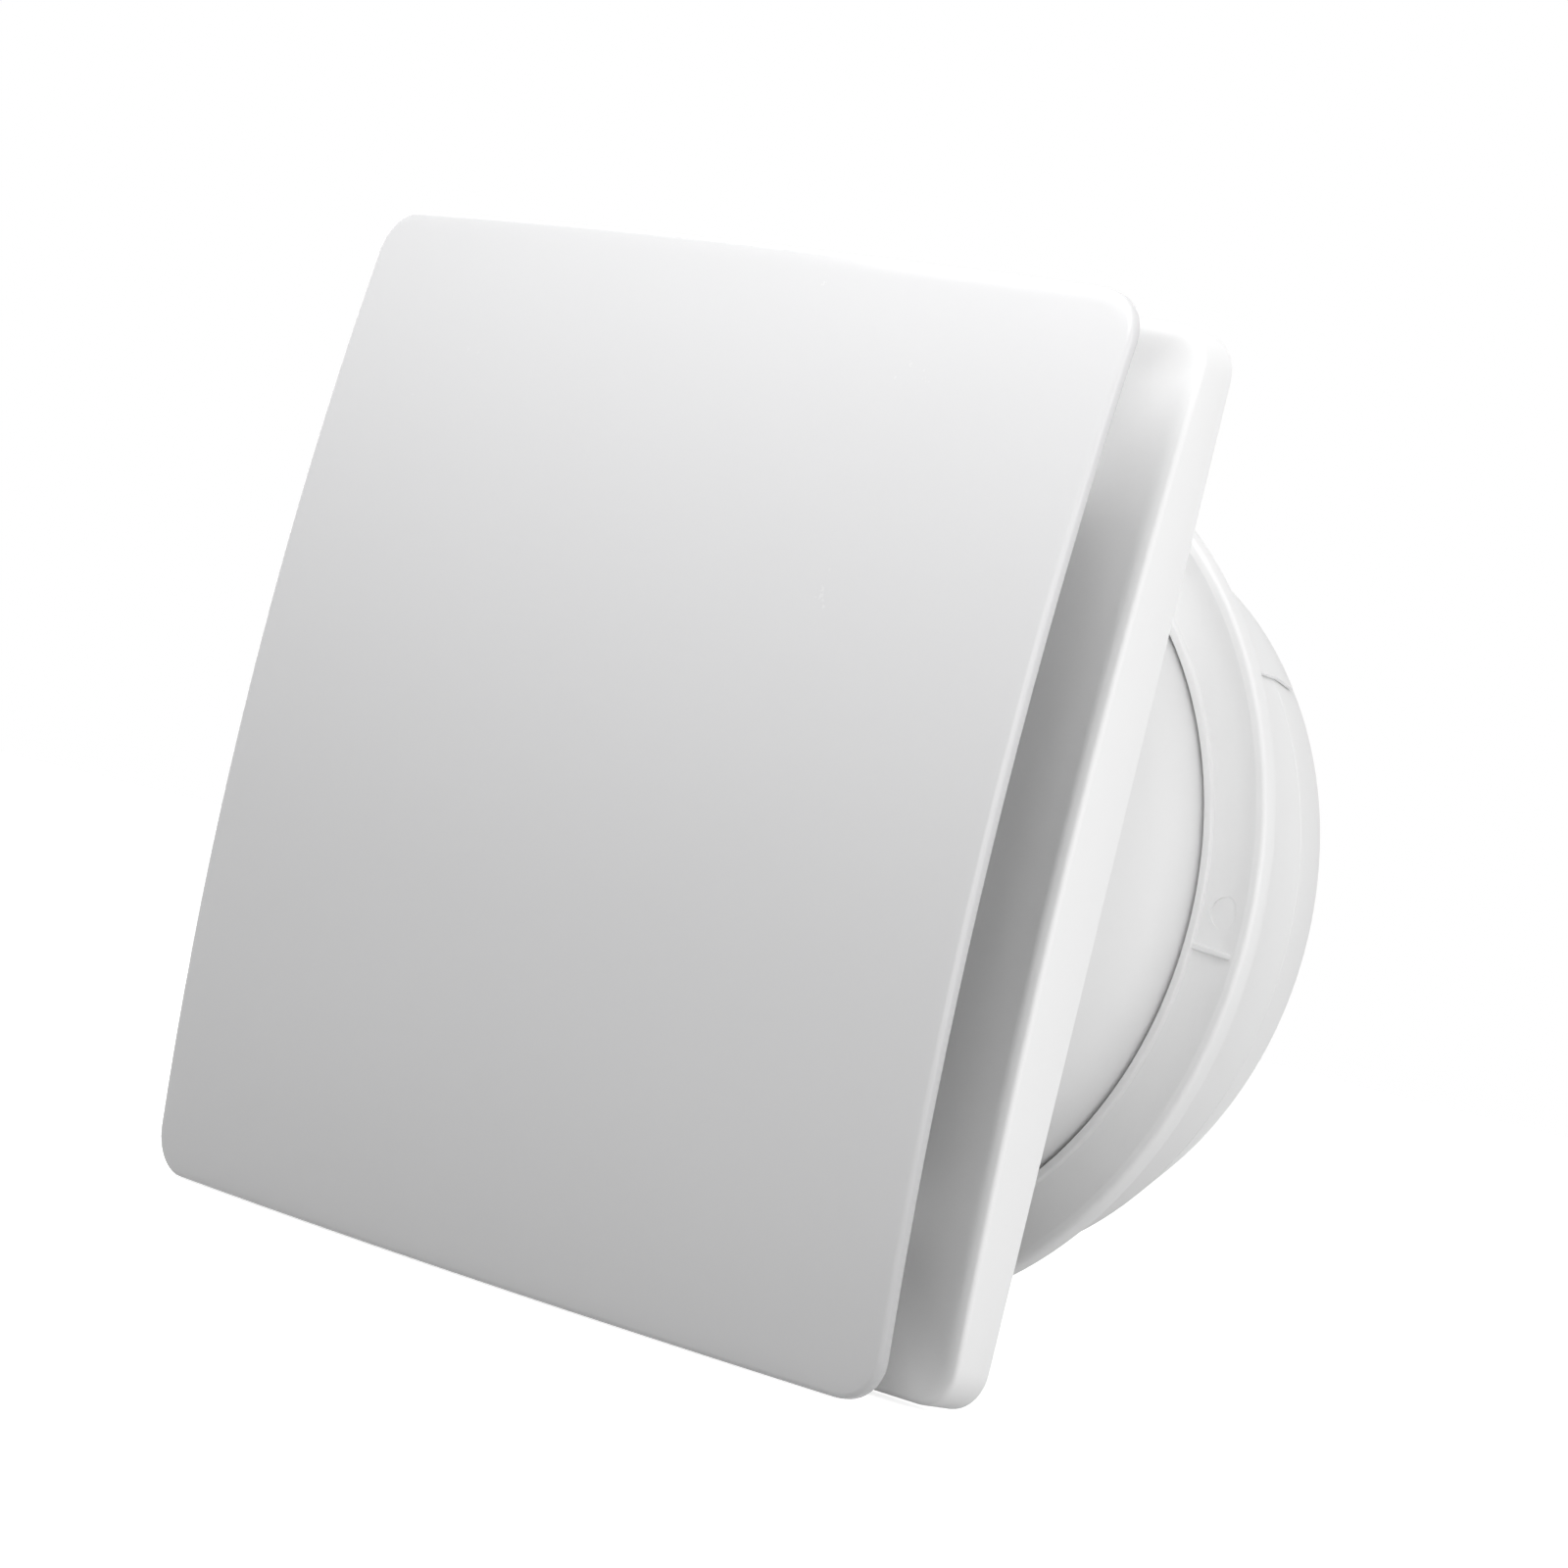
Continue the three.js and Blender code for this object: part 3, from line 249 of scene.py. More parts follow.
def rounded(profile, steps=5, closed=True):
    """A profile of (a, b, fillet) points with each fillet drawn as an arc."""
    corners = [(Vector(p[:2]), p[2] if len(p) > 2 else 0) for p in profile]
    drawn = []
    for i, (here, fillet) in enumerate(corners):
        ends = not closed and i in (0, len(corners) - 1)
        before = corners[i - 1][0] - here
        after = corners[(i + 1) % len(corners)][0] - here
        if ends or fillet <= 0 or before.length < 1e-6 or after.length < 1e-6:
            drawn.append(tuple(here))
            continue
        bend = before.angle(after)
        if bend > pi - 0.02:
            drawn.append(tuple(here))
            continue
        reach = min(fillet / tan(bend / 2), 0.49 * before.length, 0.49 * after.length)
        radius = reach * tan(bend / 2)
        middle = here + (before.normalized() + after.normalized()).normalized() * (
            radius / sin(bend / 2)
        )
        start = here + before.normalized() * reach - middle
        finish = here + after.normalized() * reach - middle
        sweep = start.angle(finish)
        for k in range(steps + 1):
            share = k / steps
            point = (start * sin((1 - share) * sweep) + finish * sin(share * sweep)) / sin(sweep)
            drawn.append(tuple(middle + point))
    return drawn


def lathe(profile, steps=96, arc=5, closed=True):
    """A round form about the fan axis from (radius, depth, fillet) points."""
    outline = rounded(profile, arc, closed)
    points, faces, rings = [], [], []
    for radius, depth in outline:
        if radius < 1e-6:
            rings.append([len(points)] * steps)
            points.append((0, depth, 0))
            continue
        rings.append(list(range(len(points), len(points) + steps)))
        for k in range(steps):
            turn = 2 * pi * k / steps
            points.append((radius * cos(turn), depth, radius * sin(turn)))
    pairs = list(zip(rings, rings[1:] + rings[:1])) if closed else list(zip(rings, rings[1:]))
    for one, two in pairs:
        for k in range(steps):
            j = (k + 1) % steps
            corner = dict.fromkeys((one[k], one[j], two[j], two[k]))
            if len(corner) > 2:
                faces.append(tuple(corner))
    return form(points, faces)


def skinned(rings, loop=False):
    """Rings of equal count joined in turn; open ends are closed by one face."""
    count = len(rings[0])
    points = [p for ring in rings for p in ring]
    faces = []
    rows = len(rings) if loop else len(rings) - 1
    for row in range(rows):
        after = (row + 1) % len(rings)
        for i in range(count):
            j = (i + 1) % count
            faces.append((row * count + i, row * count + j, after * count + j, after * count + i))
    if not loop:
        faces.append(tuple(range(count)))
        faces.append(tuple(range(len(points) - count, len(points))))
    return form(points, faces)


def plate(outline, front, back):
    """A flat plate parallel to the window from a closed (x, z) outline."""
    count = len(outline)
    points = [(x, front, z) for x, z in outline] + [(x, back, z) for x, z in outline]
    faces = [tuple(range(count)), tuple(range(2 * count - 1, count - 1, -1))]
    for i in range(count):
        j = (i + 1) % count
        faces.append((i, j, count + j, count + i))
    return form(points, faces)


def block(x, y, z, round_=0.0, segments=2):
    """A box between pairs of limits, with its edges rounded."""
    outline = [(x[0], z[0]), (x[1], z[0]), (x[1], z[1]), (x[0], z[1])]
    made = plate(outline, *y)
    return softened(made, round_, segments) if round_ else made


def rod(radius, front, back, x=0, z=0, round_=0.3, steps=32):
    profile = [(0, front), (radius, front, round_), (radius, back, round_), (0, back)]
    return shifted(lathe(profile, steps, 3, closed=False), x=x, z=z)


def polar(radius, turn):
    return radius * cos(radians(turn)), radius * sin(radians(turn))


def rounded_square(half, corner, arc_steps=10, side_steps=16):
    """Points round a square with round corners, as (x, z) about its middle."""
    flat = half - corner
    points = []
    for quarter in range(4):
        c, s = ((1, 0), (0, 1), (-1, 0), (0, -1))[quarter]
        side = [(half, -flat + 2 * flat * i / side_steps) for i in range(side_steps)]
        for i in range(arc_steps):
            turn = i / arc_steps * pi / 2
            side.append((flat + corner * cos(turn), flat + corner * sin(turn)))
        points += [(x * c - z * s, x * s + z * c) for x, z in side]
    return points


# ---------- shader wiring ----------
class Wire:
    """A shader socket. Sums on it add Math nodes, and node() adds any other node."""

    def __init__(self, tree, socket=None):
        self.tree = tree
        self.socket = socket

    def node(self, kind, settings=None, sockets=None, output=0):
        made = self.tree.nodes.new("ShaderNode" + kind)
        for name, value in (settings or {}).items():
            setattr(made, name, value)
        for name, value in (sockets or {}).items():
            if isinstance(value, Wire):
                self.tree.links.new(value.socket, made.inputs[name])
            else:
                made.inputs[name].default_value = value
        return Wire(self.tree, made.outputs[output])

    def math(self, operation, first, second):
        return self.node("Math", {"operation": operation}, {0: first, 1: second})

    def __add__(self, other):
        return self.math("ADD", self, other)

    __radd__ = __add__

    def __mul__(self, other):
        return self.math("MULTIPLY", self, other)

    __rmul__ = __mul__

    def __sub__(self, other):
        return self.math("SUBTRACT", self, other)

    def clamped(self):
        return self.node("Clamp", None, {"Value": self})

    def noise(self, place, scale, detail=3.0, roughness=0.55):
        sockets = {"Vector": place, "Scale": scale, "Detail": detail, "Roughness": roughness}
        return self.node("TexNoise", None, sockets)

    def mixed(self, share, one, two):
        """Colour one where share is 0, colour two where it is 1."""
        sockets = {0: share, 6: one, 7: two}
        return self.node("Mix", {"data_type": "RGBA"}, sockets, output=2)

    def bump(self, height, strength, distance):
        """Surface normals from a height; distance is in millimetres."""
        sockets = {"Height": height, "Strength": strength, "Distance": distance * MM}
        return self.node("Bump", None, sockets)


def tint(colour, factor=1.0):
    return tuple(min(1.0, c * factor) for c in colour) + (1.0,)


def new_finish(name):
    material = bpy.data.materials.new(name)
    material.use_nodes = True
    material.node_tree.nodes.clear()
    start = Wire(material.node_tree)
    return material, start, start.node("TexCoord", output="Object")


def surfaced(material, start, **sockets):
    """Ends a material in one Principled shader."""
    named = {name.replace("_", " "): value for name, value in sockets.items()}
    shader = start.node("BsdfPrincipled", None, named)
    end = start.tree.nodes.new("ShaderNodeOutputMaterial")
    start.tree.links.new(shader.socket, end.inputs["Surface"])
    return material


CLOUDING = 0.015


def moulded(name, colour, roughness, grain, coat=0.0, painted_light_fade=0.0):
    """Injection-moulded plastic: faint flow clouds, fine tool grain and handling marks.

    The last argument gives how much lighter the front panel's top is painted than its middle, and
    its foot darker: painted light from above, not a colour of the plastic.
    """
    material, start, place = new_finish(name)
    clouds = start.noise(place, 14, 2)
    specks = start.noise(place, 900, 2)
    marks = start.noise(place, 55, 4, 0.65)
    shade = (clouds - 0.5) * 0.5 + (specks - 0.5) * 0.12 + 0.5
    # Painted light: the colour grows lighter with height and darker towards the foot, standing in
    # for light falling from above.
    if painted_light_fade:
        rise = start.node("SeparateXYZ", None, {"Vector": place}, output="Z")
        shade = (shade - 0.5) * (CLOUDING / painted_light_fade) + rise * (0.5 / (PANEL_HALF * MM)) + 0.5
    spread = painted_light_fade or CLOUDING
    paint = start.mixed(shade.clamped(), tint(colour, 1 - spread), tint(colour, 1 + spread))
    gloss = (roughness + (marks - 0.5) * 0.12 + (specks - 0.5) * 0.05).clamped()
    height = start.noise(place, 1500, 2) * 0.7 + start.noise(place, 260, 2) * 0.3
    return surfaced(
        material, start, Base_Color=paint, Roughness=gloss, IOR=1.49,
        Coat_Weight=coat, Coat_Roughness=0.12,
        Normal=start.bump(height, grain, 0.02),
    )


def plated(name, colour, roughness, streak=6.0):
    """Plated or pressed metal with fine drawn streaks."""
    material, start, place = new_finish(name)
    stretched = start.node(
        "Mapping", None, {"Vector": place, "Scale": (1.0, streak, 1.0)}
    )
    streaks = start.noise(stretched, 420, 4, 0.7)
    stains = start.noise(place, 60, 3)
    paint = start.mixed(stains, tint(colour, 0.9), tint(colour, 1.08))
    gloss = (roughness + (streaks - 0.5) * 0.22 + (stains - 0.5) * 0.1).clamped()
    return surfaced(
        material, start, Base_Color=paint, Roughness=gloss, Metallic=1.0,
        Normal=start.bump(streaks, 0.12, 0.03),
    )


def laminated(name, colour):
    """Stacked electrical sheet: thin lines across the fan axis."""
    material, start, place = new_finish(name)
    lines = start.node(
        "TexWave", {"wave_type": "BANDS", "bands_direction": "Y"},
        {"Vector": place, "Scale": 320.0, "Distortion": 0.4}, output="Fac",
    )
    stains = start.noise(place, 90, 3)
    paint = start.mixed(lines * 0.5 + stains * 0.5, tint(colour, 0.6), tint(colour, 1.3))
    return surfaced(
        material, start, Base_Color=paint, Roughness=0.45 + stains * 0.2, Metallic=0.85,
        Normal=start.bump(lines, 0.5, 0.1),
    )


def wound(name, colour):
    """Enamelled wire laid in turns."""
    material, start, place = new_finish(name)
    turns = start.node(
        "TexWave", {"wave_type": "RINGS", "rings_direction": "Y"},
        {"Vector": place, "Scale": 260.0, "Distortion": 1.2, "Detail": 1.0}, output="Fac",
    )
    paint = start.mixed(turns, tint(colour, 0.45), tint(colour, 1.25))
    return surfaced(
        material, start, Base_Color=paint, Roughness=0.3 + turns * 0.1, Metallic=0.9,
        Coat_Weight=0.4, Normal=start.bump(turns, 0.8, 0.25),
    )


def foamed(name, colour):
    """Closed-cell foam: small open pits in a dull face."""
    material, start, place = new_finish(name)
    cells = start.node("TexVoronoi", None, {"Vector": place, "Scale": 1100.0}, output="Distance")
    dirt = start.noise(place, 120, 3)
    paint = start.mixed((cells * 0.8 + dirt * 0.3).clamped(), tint(colour, 0.55), tint(colour, 1.7))
    return surfaced(
        material, start, Base_Color=paint, Roughness=0.92,
        Normal=start.bump(cells, 0.7, 0.3),
    )


def rubbery(name, colour, roughness):
    """Moulded rubber or matt black plastic."""
    material, start, place = new_finish(name)
    bloom = start.noise(place, 110, 4)
    paint = start.mixed(bloom, tint(colour, 0.75), tint(colour, 1.6))
    height = start.noise(place, 1300, 2)
    return surfaced(
        material, start, Base_Color=paint, Roughness=roughness + bloom * 0.12,
        Normal=start.bump(height, 0.2, 0.04),
    )


FINISHES = {
    # The front panel's finish has painted light: its colour is painted lighter towards the top and
    # darker towards the foot.
    "panel_white": moulded(
        "panel_white_gloss_painted_light", (0.65, 0.65, 0.655), 0.24, 0.05, coat=0.25, painted_light_fade=0.19
    ),
    "case_white": moulded("case_white_satin", (0.9, 0.9, 0.9), 0.42, 0.1),
    "impeller_white": moulded("impeller_white_satin", (0.87, 0.87, 0.87), 0.38, 0.1),
    "foam": foamed("gasket_foam", (0.05, 0.05, 0.054)),
    "rubber": rubbery("grommet_rubber", (0.03, 0.03, 0.032), 0.55),
    "dark_plastic": rubbery("terminal_black", (0.04, 0.042, 0.045), 0.42),
    "motor_steel": plated("motor_zinc", (0.62, 0.63, 0.64), 0.34),
    "core_steel": laminated("core_sheet", (0.22, 0.225, 0.23)),
    "screw_steel": plated("screw_zinc", (0.72, 0.72, 0.73), 0.26, 1.0),
    "copper": wound("winding_copper", (0.62, 0.28, 0.12)),
    "brass": plated("turned_brass", (0.72, 0.52, 0.22), 0.24, 1.0),
}

for node in frame["record"]["subparts"]:
    solid = NODES[node["node"]]
    solid.data.materials.clear()
    solid.data.materials.append(FINISHES[node["material_slot"]])


def piece(name, thing, body, slot, *stands_for, crease=34):
    """Names a form, gives it its finish and sets it on its body."""
    thing.name = name
    thing.data.name = name
    thing.data.shade_smooth()
    thing.data.set_sharp_from_angle(angle=radians(crease))
    thing.data.materials.clear()
    thing.data.materials.append(FINISHES[slot])
    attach(thing, body)
    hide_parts(*stands_for)
    return thing


# ---------- front panel ----------
def panel_face(x, z):
    """Depth of the panel's front face at a point about its own middle."""
    return -PANEL_STAND_OFF - PANEL_BOW * (2 - (x / PANEL_HALF) ** 2 - (z / PANEL_HALF) ** 2)


def panel_ring(inset, behind, shrink=1.0):
    outline = rounded_square(PANEL_HALF - inset, PANEL_CORNER - inset, 12, 20)
    return [
        (x * shrink, panel_face(x * shrink, z * shrink) + behind, z * shrink + LIFT)
        for x, z in outline
    ]


def edge_arc(radius, steps=5):
    """(inset, behind) from the face round to the edge."""
    return [
        (radius * (1 - sin(k / steps * pi / 2)), radius * (1 - cos(k / steps * pi / 2)))
        for k in range(steps + 1)
    ]


PANEL_BAND = 8
face_shrinks = [k / 14 for k in range(1, 14)]
front_arc = edge_arc(PANEL_EDGE)
back_arc = [(inset, PANEL_THICK - behind) for inset, behind in reversed(edge_arc(0.6, 3))]
panel = skinned(
    [panel_ring(PANEL_BAND, 0, share) for share in face_shrinks]
    + [panel_ring(inset, 0) for inset in (PANEL_BAND, PANEL_BAND / 2)]
    + [panel_ring(inset, behind) for inset, behind in front_arc + back_arc]
    + [panel_ring(inset, PANEL_THICK) for inset in (PANEL_BAND / 2, PANEL_BAND)]
    + [panel_ring(PANEL_BAND, PANEL_THICK, share) for share in reversed(face_shrinks)]
)
piece("panel_shell", panel, "panel", "panel_white", "front_panel")

# ---------- panel posts ----------
for number in range(1, 5):
    low, high = span(f"panel_post_{number}")
    centre = (low + high) / 2
    radius = (high.x - low.x) / 2
    tip, root = high.y, low.y
    shank = lathe(
        [
            (0, root - 0.5), (radius + 1.8, root - 0.5), (radius, root + 5, 3),
            (radius, tip - 9, 0.4), (radius - 0.7, tip - 8.2, 0.4),
            (radius - 0.7, tip - 5.6, 0.4), (radius, tip - 4.8, 0.4),
            (radius, tip - 2.4, 1), (radius - 1.6, tip, 0.8), (0, tip),
        ],
        36, 4, closed=False,
    )
    piece(
        f"post_{number}", shifted(shank, x=centre.x, z=centre.z),
        "panel", "case_white", f"panel_post_{number}",
    )


# ---------- front frame ----------
def frame_ring(half, share, depth, bow, radius=THROAT):
    """One ring of the dish: share 0 is the round throat, 1 the square rim."""
    points = []
    for x, z in rounded_square(half, FRAME_CORNER - (FRAME_HALF - half)):
        turn = atan2(z + LIFT, x)
        forward = FRAME_BOW * bow * (2 - (x / FRAME_HALF) ** 2 - (z / FRAME_HALF) ** 2)
        points.append((
            (1 - share) * radius * cos(turn) + share * x,
            -depth - forward,
            (1 - share) * radius * sin(turn) + share * (z + LIFT),
        ))
    return points


RIM_INNER = FRAME_HALF - RIM_LAND


def dish_rings(depth, shares):
    rise = FRAME_CORNER_DEPTH - DISH_FLOOR
    return [
        frame_ring(RIM_INNER, share, depth + rise * share**2, share**2, DISH_FLAT_RADIUS)
        for share in shares
    ]


def rim_arc(half, depth, radius, start, steps=4):
    """A rounded corner of the rim, as rings, from outside to front."""
    rings = []
    for k in range(steps + 1):
        turn = (start + k / steps) * pi / 2
        rings.append(frame_ring(half + radius * cos(turn), 1, depth + radius * sin(turn), 1))
    return rings


dish_shares = [k / 16 for k in range(15, -1, -1)]
hollow_half = FRAME_HALF - FRAME_WALL
outer_rings = (
    [frame_ring(FRAME_HALF, 1, FRAME_FOOT, 0)]
    + rim_arc(FRAME_HALF - RIM_ROUND, FRAME_CORNER_DEPTH - RIM_ROUND, RIM_ROUND, 0)
    + [frame_ring(RIM_INNER + RIM_ROLL, 1, FRAME_CORNER_DEPTH - 0.03, 1)]
    + dish_rings(DISH_FLOOR, [0.99] + dish_shares)
    + [frame_ring(RIM_INNER, 0, DISH_FLOOR, 0, THROAT + 0.6)]
    + [frame_ring(RIM_INNER, 0, DISH_FLOOR - 0.6, 0, THROAT)]
    + [frame_ring(RIM_INNER, 0, 0, 0, THROAT)]
    + [frame_ring(RIM_INNER, 0, 0, 0, THROAT + 2)]
)
inner_rings = (
    [frame_ring(RIM_INNER, 0, DISH_FLOOR - SHELL, 0, THROAT + 2)]
    + dish_rings(DISH_FLOOR - SHELL, list(reversed(dish_shares)))
    + [frame_ring(hollow_half, 1, FRAME_CORNER_DEPTH - SHELL, 1)]
    + [frame_ring(hollow_half, 1, 0, 0), frame_ring(FRAME_HALF - FRAME_FOOT, 1, 0, 0)]
)
shell = skinned(outer_rings + inner_rings, loop=True)

# The ribs are cut to the hollow behind the dish, which is drawn a little larger to overlap it.
RIB_THICK = 1.8
RIB_SET_BACK = 0.6
RIB_BITE = 0.3
RIB_START = FLANGE_RADIUS + 0.8
hollow = skinned(
    [
        frame_ring(hollow_half + RIB_BITE, 1, RIB_SET_BACK, 0),
        frame_ring(hollow_half + RIB_BITE, 1, FRAME_CORNER_DEPTH - SHELL + RIB_BITE, 1),
    ]
    + dish_rings(DISH_FLOOR - SHELL + RIB_BITE, dish_shares)
    + [frame_ring(RIM_INNER, 0, DISH_FLOOR - SHELL + RIB_BITE, 0, RIB_START)]
    + [frame_ring(RIM_INNER, 0, RIB_SET_BACK, 0, RIB_START)],
    loop=True,
)
rib_box = (RIB_START, 2 * FRAME_HALF), (-20, -RIB_SET_BACK), (-RIB_THICK / 2, RIB_THICK / 2)
ribs = [spun(block(*rib_box), turn) for turn in range(0, 360, 45)]
ribs = carved(joined(*ribs), hollow, "INTERSECT")

sockets = []
for number in range(1, 5):
    low, high = span(f"panel_post_{number}")
    centre = (low + high) / 2
    radius = (high.x - low.x) / 2
    mouth = frame_low.y
    socket = lathe(
        [
            (0, high.y + 0.9), (radius + 0.5, high.y + 0.9), (radius + 0.5, mouth + 0.8, 0.2),
            (radius + 1.3, mouth, 0.4), (radius + 2.9, mouth, 0.5), (radius + 3.4, -8, 1),
            (radius + 5, -4), (0, -4),
        ],
        48, 4, closed=False,
    )
    sockets.append(shifted(socket, x=centre.x, z=centre.z))
piece("frame_shell", joined(shell, ribs, *sockets), "frame_body", "case_white", "front_frame")

# ---------- inlet guard ----------
guard_low, guard_high = span("inlet_guard")
GUARD_RADIUS = guard_high.x
GUARD_HUB = 16
GUARD_BAR = 3.4
SLOT_RINGS = 3
slot_band = (THROAT - 1 - GUARD_HUB) / SLOT_RINGS


def guard_ring(inner, outer):
    return lathe(
        [
            (inner, guard_low.y, 0.7), (outer, guard_low.y, 0.7),
            (outer, guard_high.y, 0.3), (inner, guard_high.y, 0.3),
        ],
        128, 3,
    )


guard_hub = lathe(
    [
        (0, guard_low.y), (GUARD_HUB * 0.6, guard_low.y, 6), (GUARD_HUB, guard_low.y + 0.7, 0.5),
        (GUARD_HUB, guard_high.y, 0.3), (0, guard_high.y),
    ],
    96, 5, closed=False,
)
guard_rings = [
    guard_ring(GUARD_HUB + k * slot_band - GUARD_BAR, GUARD_HUB + k * slot_band)
    for k in range(1, SLOT_RINGS)
]
guard_rim = guard_ring(GUARD_HUB + SLOT_RINGS * slot_band - GUARD_BAR, GUARD_RADIUS)
guard_spoke = block(
    (GUARD_HUB - 2, THROAT - 2), (guard_low.y, guard_high.y), (-GUARD_BAR / 2, GUARD_BAR / 2), 0.5
)
guard_spokes = around(guard_spoke, range(30, 360, 60))
guard = joined(guard_hub, guard_rim, guard_spokes, *guard_rings)
piece("guard_grille", guard, "frame_body", "case_white", "inlet_guard")


# ---------- screws ----------
def pan_head(radius, thick, shank, length):
    """A pan-head screw along +Y: the head's top at 0, its shank behind it."""
    made = lathe(
        [
            (0, 0), (radius * 0.55, 0.04 * thick, 2), (radius * 0.92, 0.35 * thick, 0.8),
            (radius, 0.75 * thick, 0.3), (radius, thick, 0.15), (shank, thick, 0.1),
            (shank, length - 1, 0.2), (0, length),
        ],
        40, 4, closed=False,
    )
    arm, half = 0.55 * radius, 0.24 * radius / 2
    for wide, high in ((arm, half), (half, arm)):
        carved(made, block((-wide, wide), (-1, 0.62 * thick), (-high, high)))
    return made


def set_screws(stem, count, head_front, length, radius, thick, shank, body):
    """Screws whose heads face the room (head_front) or outdoors."""
    for number in range(1, count + 1):
        node = f"{stem}_{number}"
        low, high = span(node)
        made = spun(pan_head(radius, thick, shank, length), 17 * number)
        x, z = (low.x + high.x) / 2, (low.z + high.z) / 2
        if head_front:
            shifted(made, x=x, y=low.y, z=z)
        else:
            moved(made, Matrix.Rotation(pi, 4, "X"))
            shifted(made, x=x, y=high.y, z=z)
        piece(f"{stem}_head_{number}", made, body, "screw_steel", node)


set_screws("guard_screw", 3, True, 4.4, 2.3, 2, 1.5, "frame_body")
set_screws("flange_screw", 4, False, 8.8, 2.8, 2, 1.5, "frame_body")
set_screws("bridge_screw", 3, False, 15, 2.8, 2, 1.5, "frame_body")
set_screws("motor_screw", 3, False, 7, 2.8, 2, 1.5, "frame_body")

# ---------- barrel ----------
lock_low, lock_high = span("lock_screw_top")
LOCK_DEPTH = (lock_low.y + lock_high.y) / 2
LOCK_RADIUS = 2
CLAMP_TRAVEL = 15
barrel = lathe(
    [
        (BARREL_BORE, WEB_FRONT, 0.2), (FLANGE_RADIUS, WEB_FRONT, 0.4), (FLANGE_RADIUS, 0, 0.4),
        (BARREL_RADIUS, 0, 0.8), (BARREL_RADIUS, BARREL_LENGTH, 0.7),
        (BARREL_BORE, BARREL_LENGTH, 0.5), (BARREL_BORE, 4.8), (BARREL_BORE - 1.5, 4.8, 0.3),
        (BARREL_BORE - 1.5, 2.8, 0.2), (BARREL_BORE, 2.8),
    ],
    192, 4,
)
slot_half = LOCK_RADIUS + 0.4
slot_depths = (LOCK_DEPTH - CLAMP_TRAVEL - slot_half, LOCK_DEPTH + slot_half)
for side in (1, -1):
    heights = sorted((side * (BARREL_BORE - 3), side * (BARREL_RADIUS + 3)))
    slot = block((-slot_half, slot_half), slot_depths, heights)
    carved(barrel, softened(slot, 2.2, 4))
grommet_low, grommet_high = span("cable_grommet")
GROMMET_DEPTH = (grommet_low.y + grommet_high.y) / 2
hole = aimed(rod(5.1, BARREL_BORE - 5, BARREL_RADIUS + 5), (0, 0, -1))
carved(barrel, shifted(hole, y=GROMMET_DEPTH))
piece("barrel_tube", barrel, "frame_body", "case_white", "barrel")

# ---------- fan duct ----------
duct = lathe(
    [
        (DUCT_BORE, MOUTH_FLARE + 3, 5), (DUCT_BORE + 1, 1.4, 4), (THROAT - 0.6, WEB_FRONT, 0.3),
        (BARREL_BORE - GAP, WEB_FRONT, 0.2), (BARREL_BORE - GAP, WEB_BACK, 0.2),
        (DUCT_RADIUS, WEB_BACK, 1), (DUCT_RADIUS, DUCT_LENGTH, 0.5), (DUCT_BORE, DUCT_LENGTH, 0.5),
    ],
    160, 4,
)
BOSS_RADIUS = 5
BOSS_RING = DUCT_RADIUS + BOSS_RADIUS - 0.5
boss = rod(BOSS_RADIUS, 1, DUCT_LENGTH, BOSS_RING, 0, 0.4, 40)
piece("duct_tube", joined(duct, around(boss, BRIDGE_TURNS)), "frame_body", "case_white", "fan_duct")

# ---------- gasket and grommet ----------
gasket_high = span("window_gasket")[1]
gasket = lathe(
    [
        (BARREL_RADIUS + 0.4, GAP, 0.5), (gasket_high.x, GAP, 0.8),
        (gasket_high.x, gasket_high.y, 0.9), (BARREL_RADIUS + 0.4, gasket_high.y, 0.9),
    ],
    160, 4,
)
piece("gasket_ring", gasket, "frame_body", "foam", "window_gasket")
CABLE_RADIUS = 3.4
grommet = lathe(
    [
        (CABLE_RADIUS, BARREL_BORE - 1.6, 0.4), (CABLE_RADIUS + 1.4, BARREL_BORE - 1.6, 0.5),
        (CABLE_RADIUS + 1.4, BARREL_RADIUS + 0.3, 0.2),
        (CABLE_RADIUS + 3.4, BARREL_RADIUS + 0.5, 0.3),
        (CABLE_RADIUS + 3.2, BARREL_RADIUS + 1.8, 0.6),
        (CABLE_RADIUS + 1.2, BARREL_RADIUS + 2.4, 0.5), (CABLE_RADIUS, BARREL_RADIUS + 2.2, 0.4),
    ],
    48, 4,
)
grommet = shifted(aimed(grommet, (0, 0, -1)), y=GROMMET_DEPTH)
piece("grommet_sleeve", grommet, "frame_body", "rubber", "cable_grommet")

# ---------- motor ----------
can_low, can_high = span("motor_can")
CAN_RADIUS = can_high.x
SEAT = 7.3
can = lathe(
    [
        (SEAT, can_low.y, 0.3), (SEAT + 3.5, can_low.y, 0.5), (SEAT + 4, can_low.y + 0.8, 0.8),
        (CAN_RADIUS - 6, can_low.y + 0.8, 1.5), (CAN_RADIUS - 5, can_low.y, 0.8),
        (CAN_RADIUS - 0.1, can_low.y, 3.6), (CAN_RADIUS, can_high.y, 0.2),
        (CAN_RADIUS - 1.5, can_high.y), (CAN_RADIUS - 1.5, can_low.y + 1.5, 2),
        (SEAT + 2.2, can_low.y + 1.5), (SEAT + 2.2, can_low.y + 5.7), (SEAT, can_low.y + 5.7),
    ],
    96, 5,
)
piece("motor_shell", can, "frame_body", "motor_steel", "motor_can")
cover_low, cover_high = span("motor_end_cover")
cover = lathe(
    [
        (SEAT, cover_low.y), (SEAT + 2.2, cover_low.y), (SEAT + 2.2, cover_high.y - 2.7),
        (CAN_RADIUS, cover_high.y - 2.7, 0.3), (CAN_RADIUS, cover_high.y, 0.9),
        (SEAT, cover_high.y, 0.3),
    ],
    96, 4,
)
piece("motor_cover", cover, "frame_body", "motor_steel", "motor_end_cover")
bridge_low, bridge_high = span("motor_bridge")
BRIDGE_FRONT, BRIDGE_BACK = bridge_low.y, bridge_low.y + 3
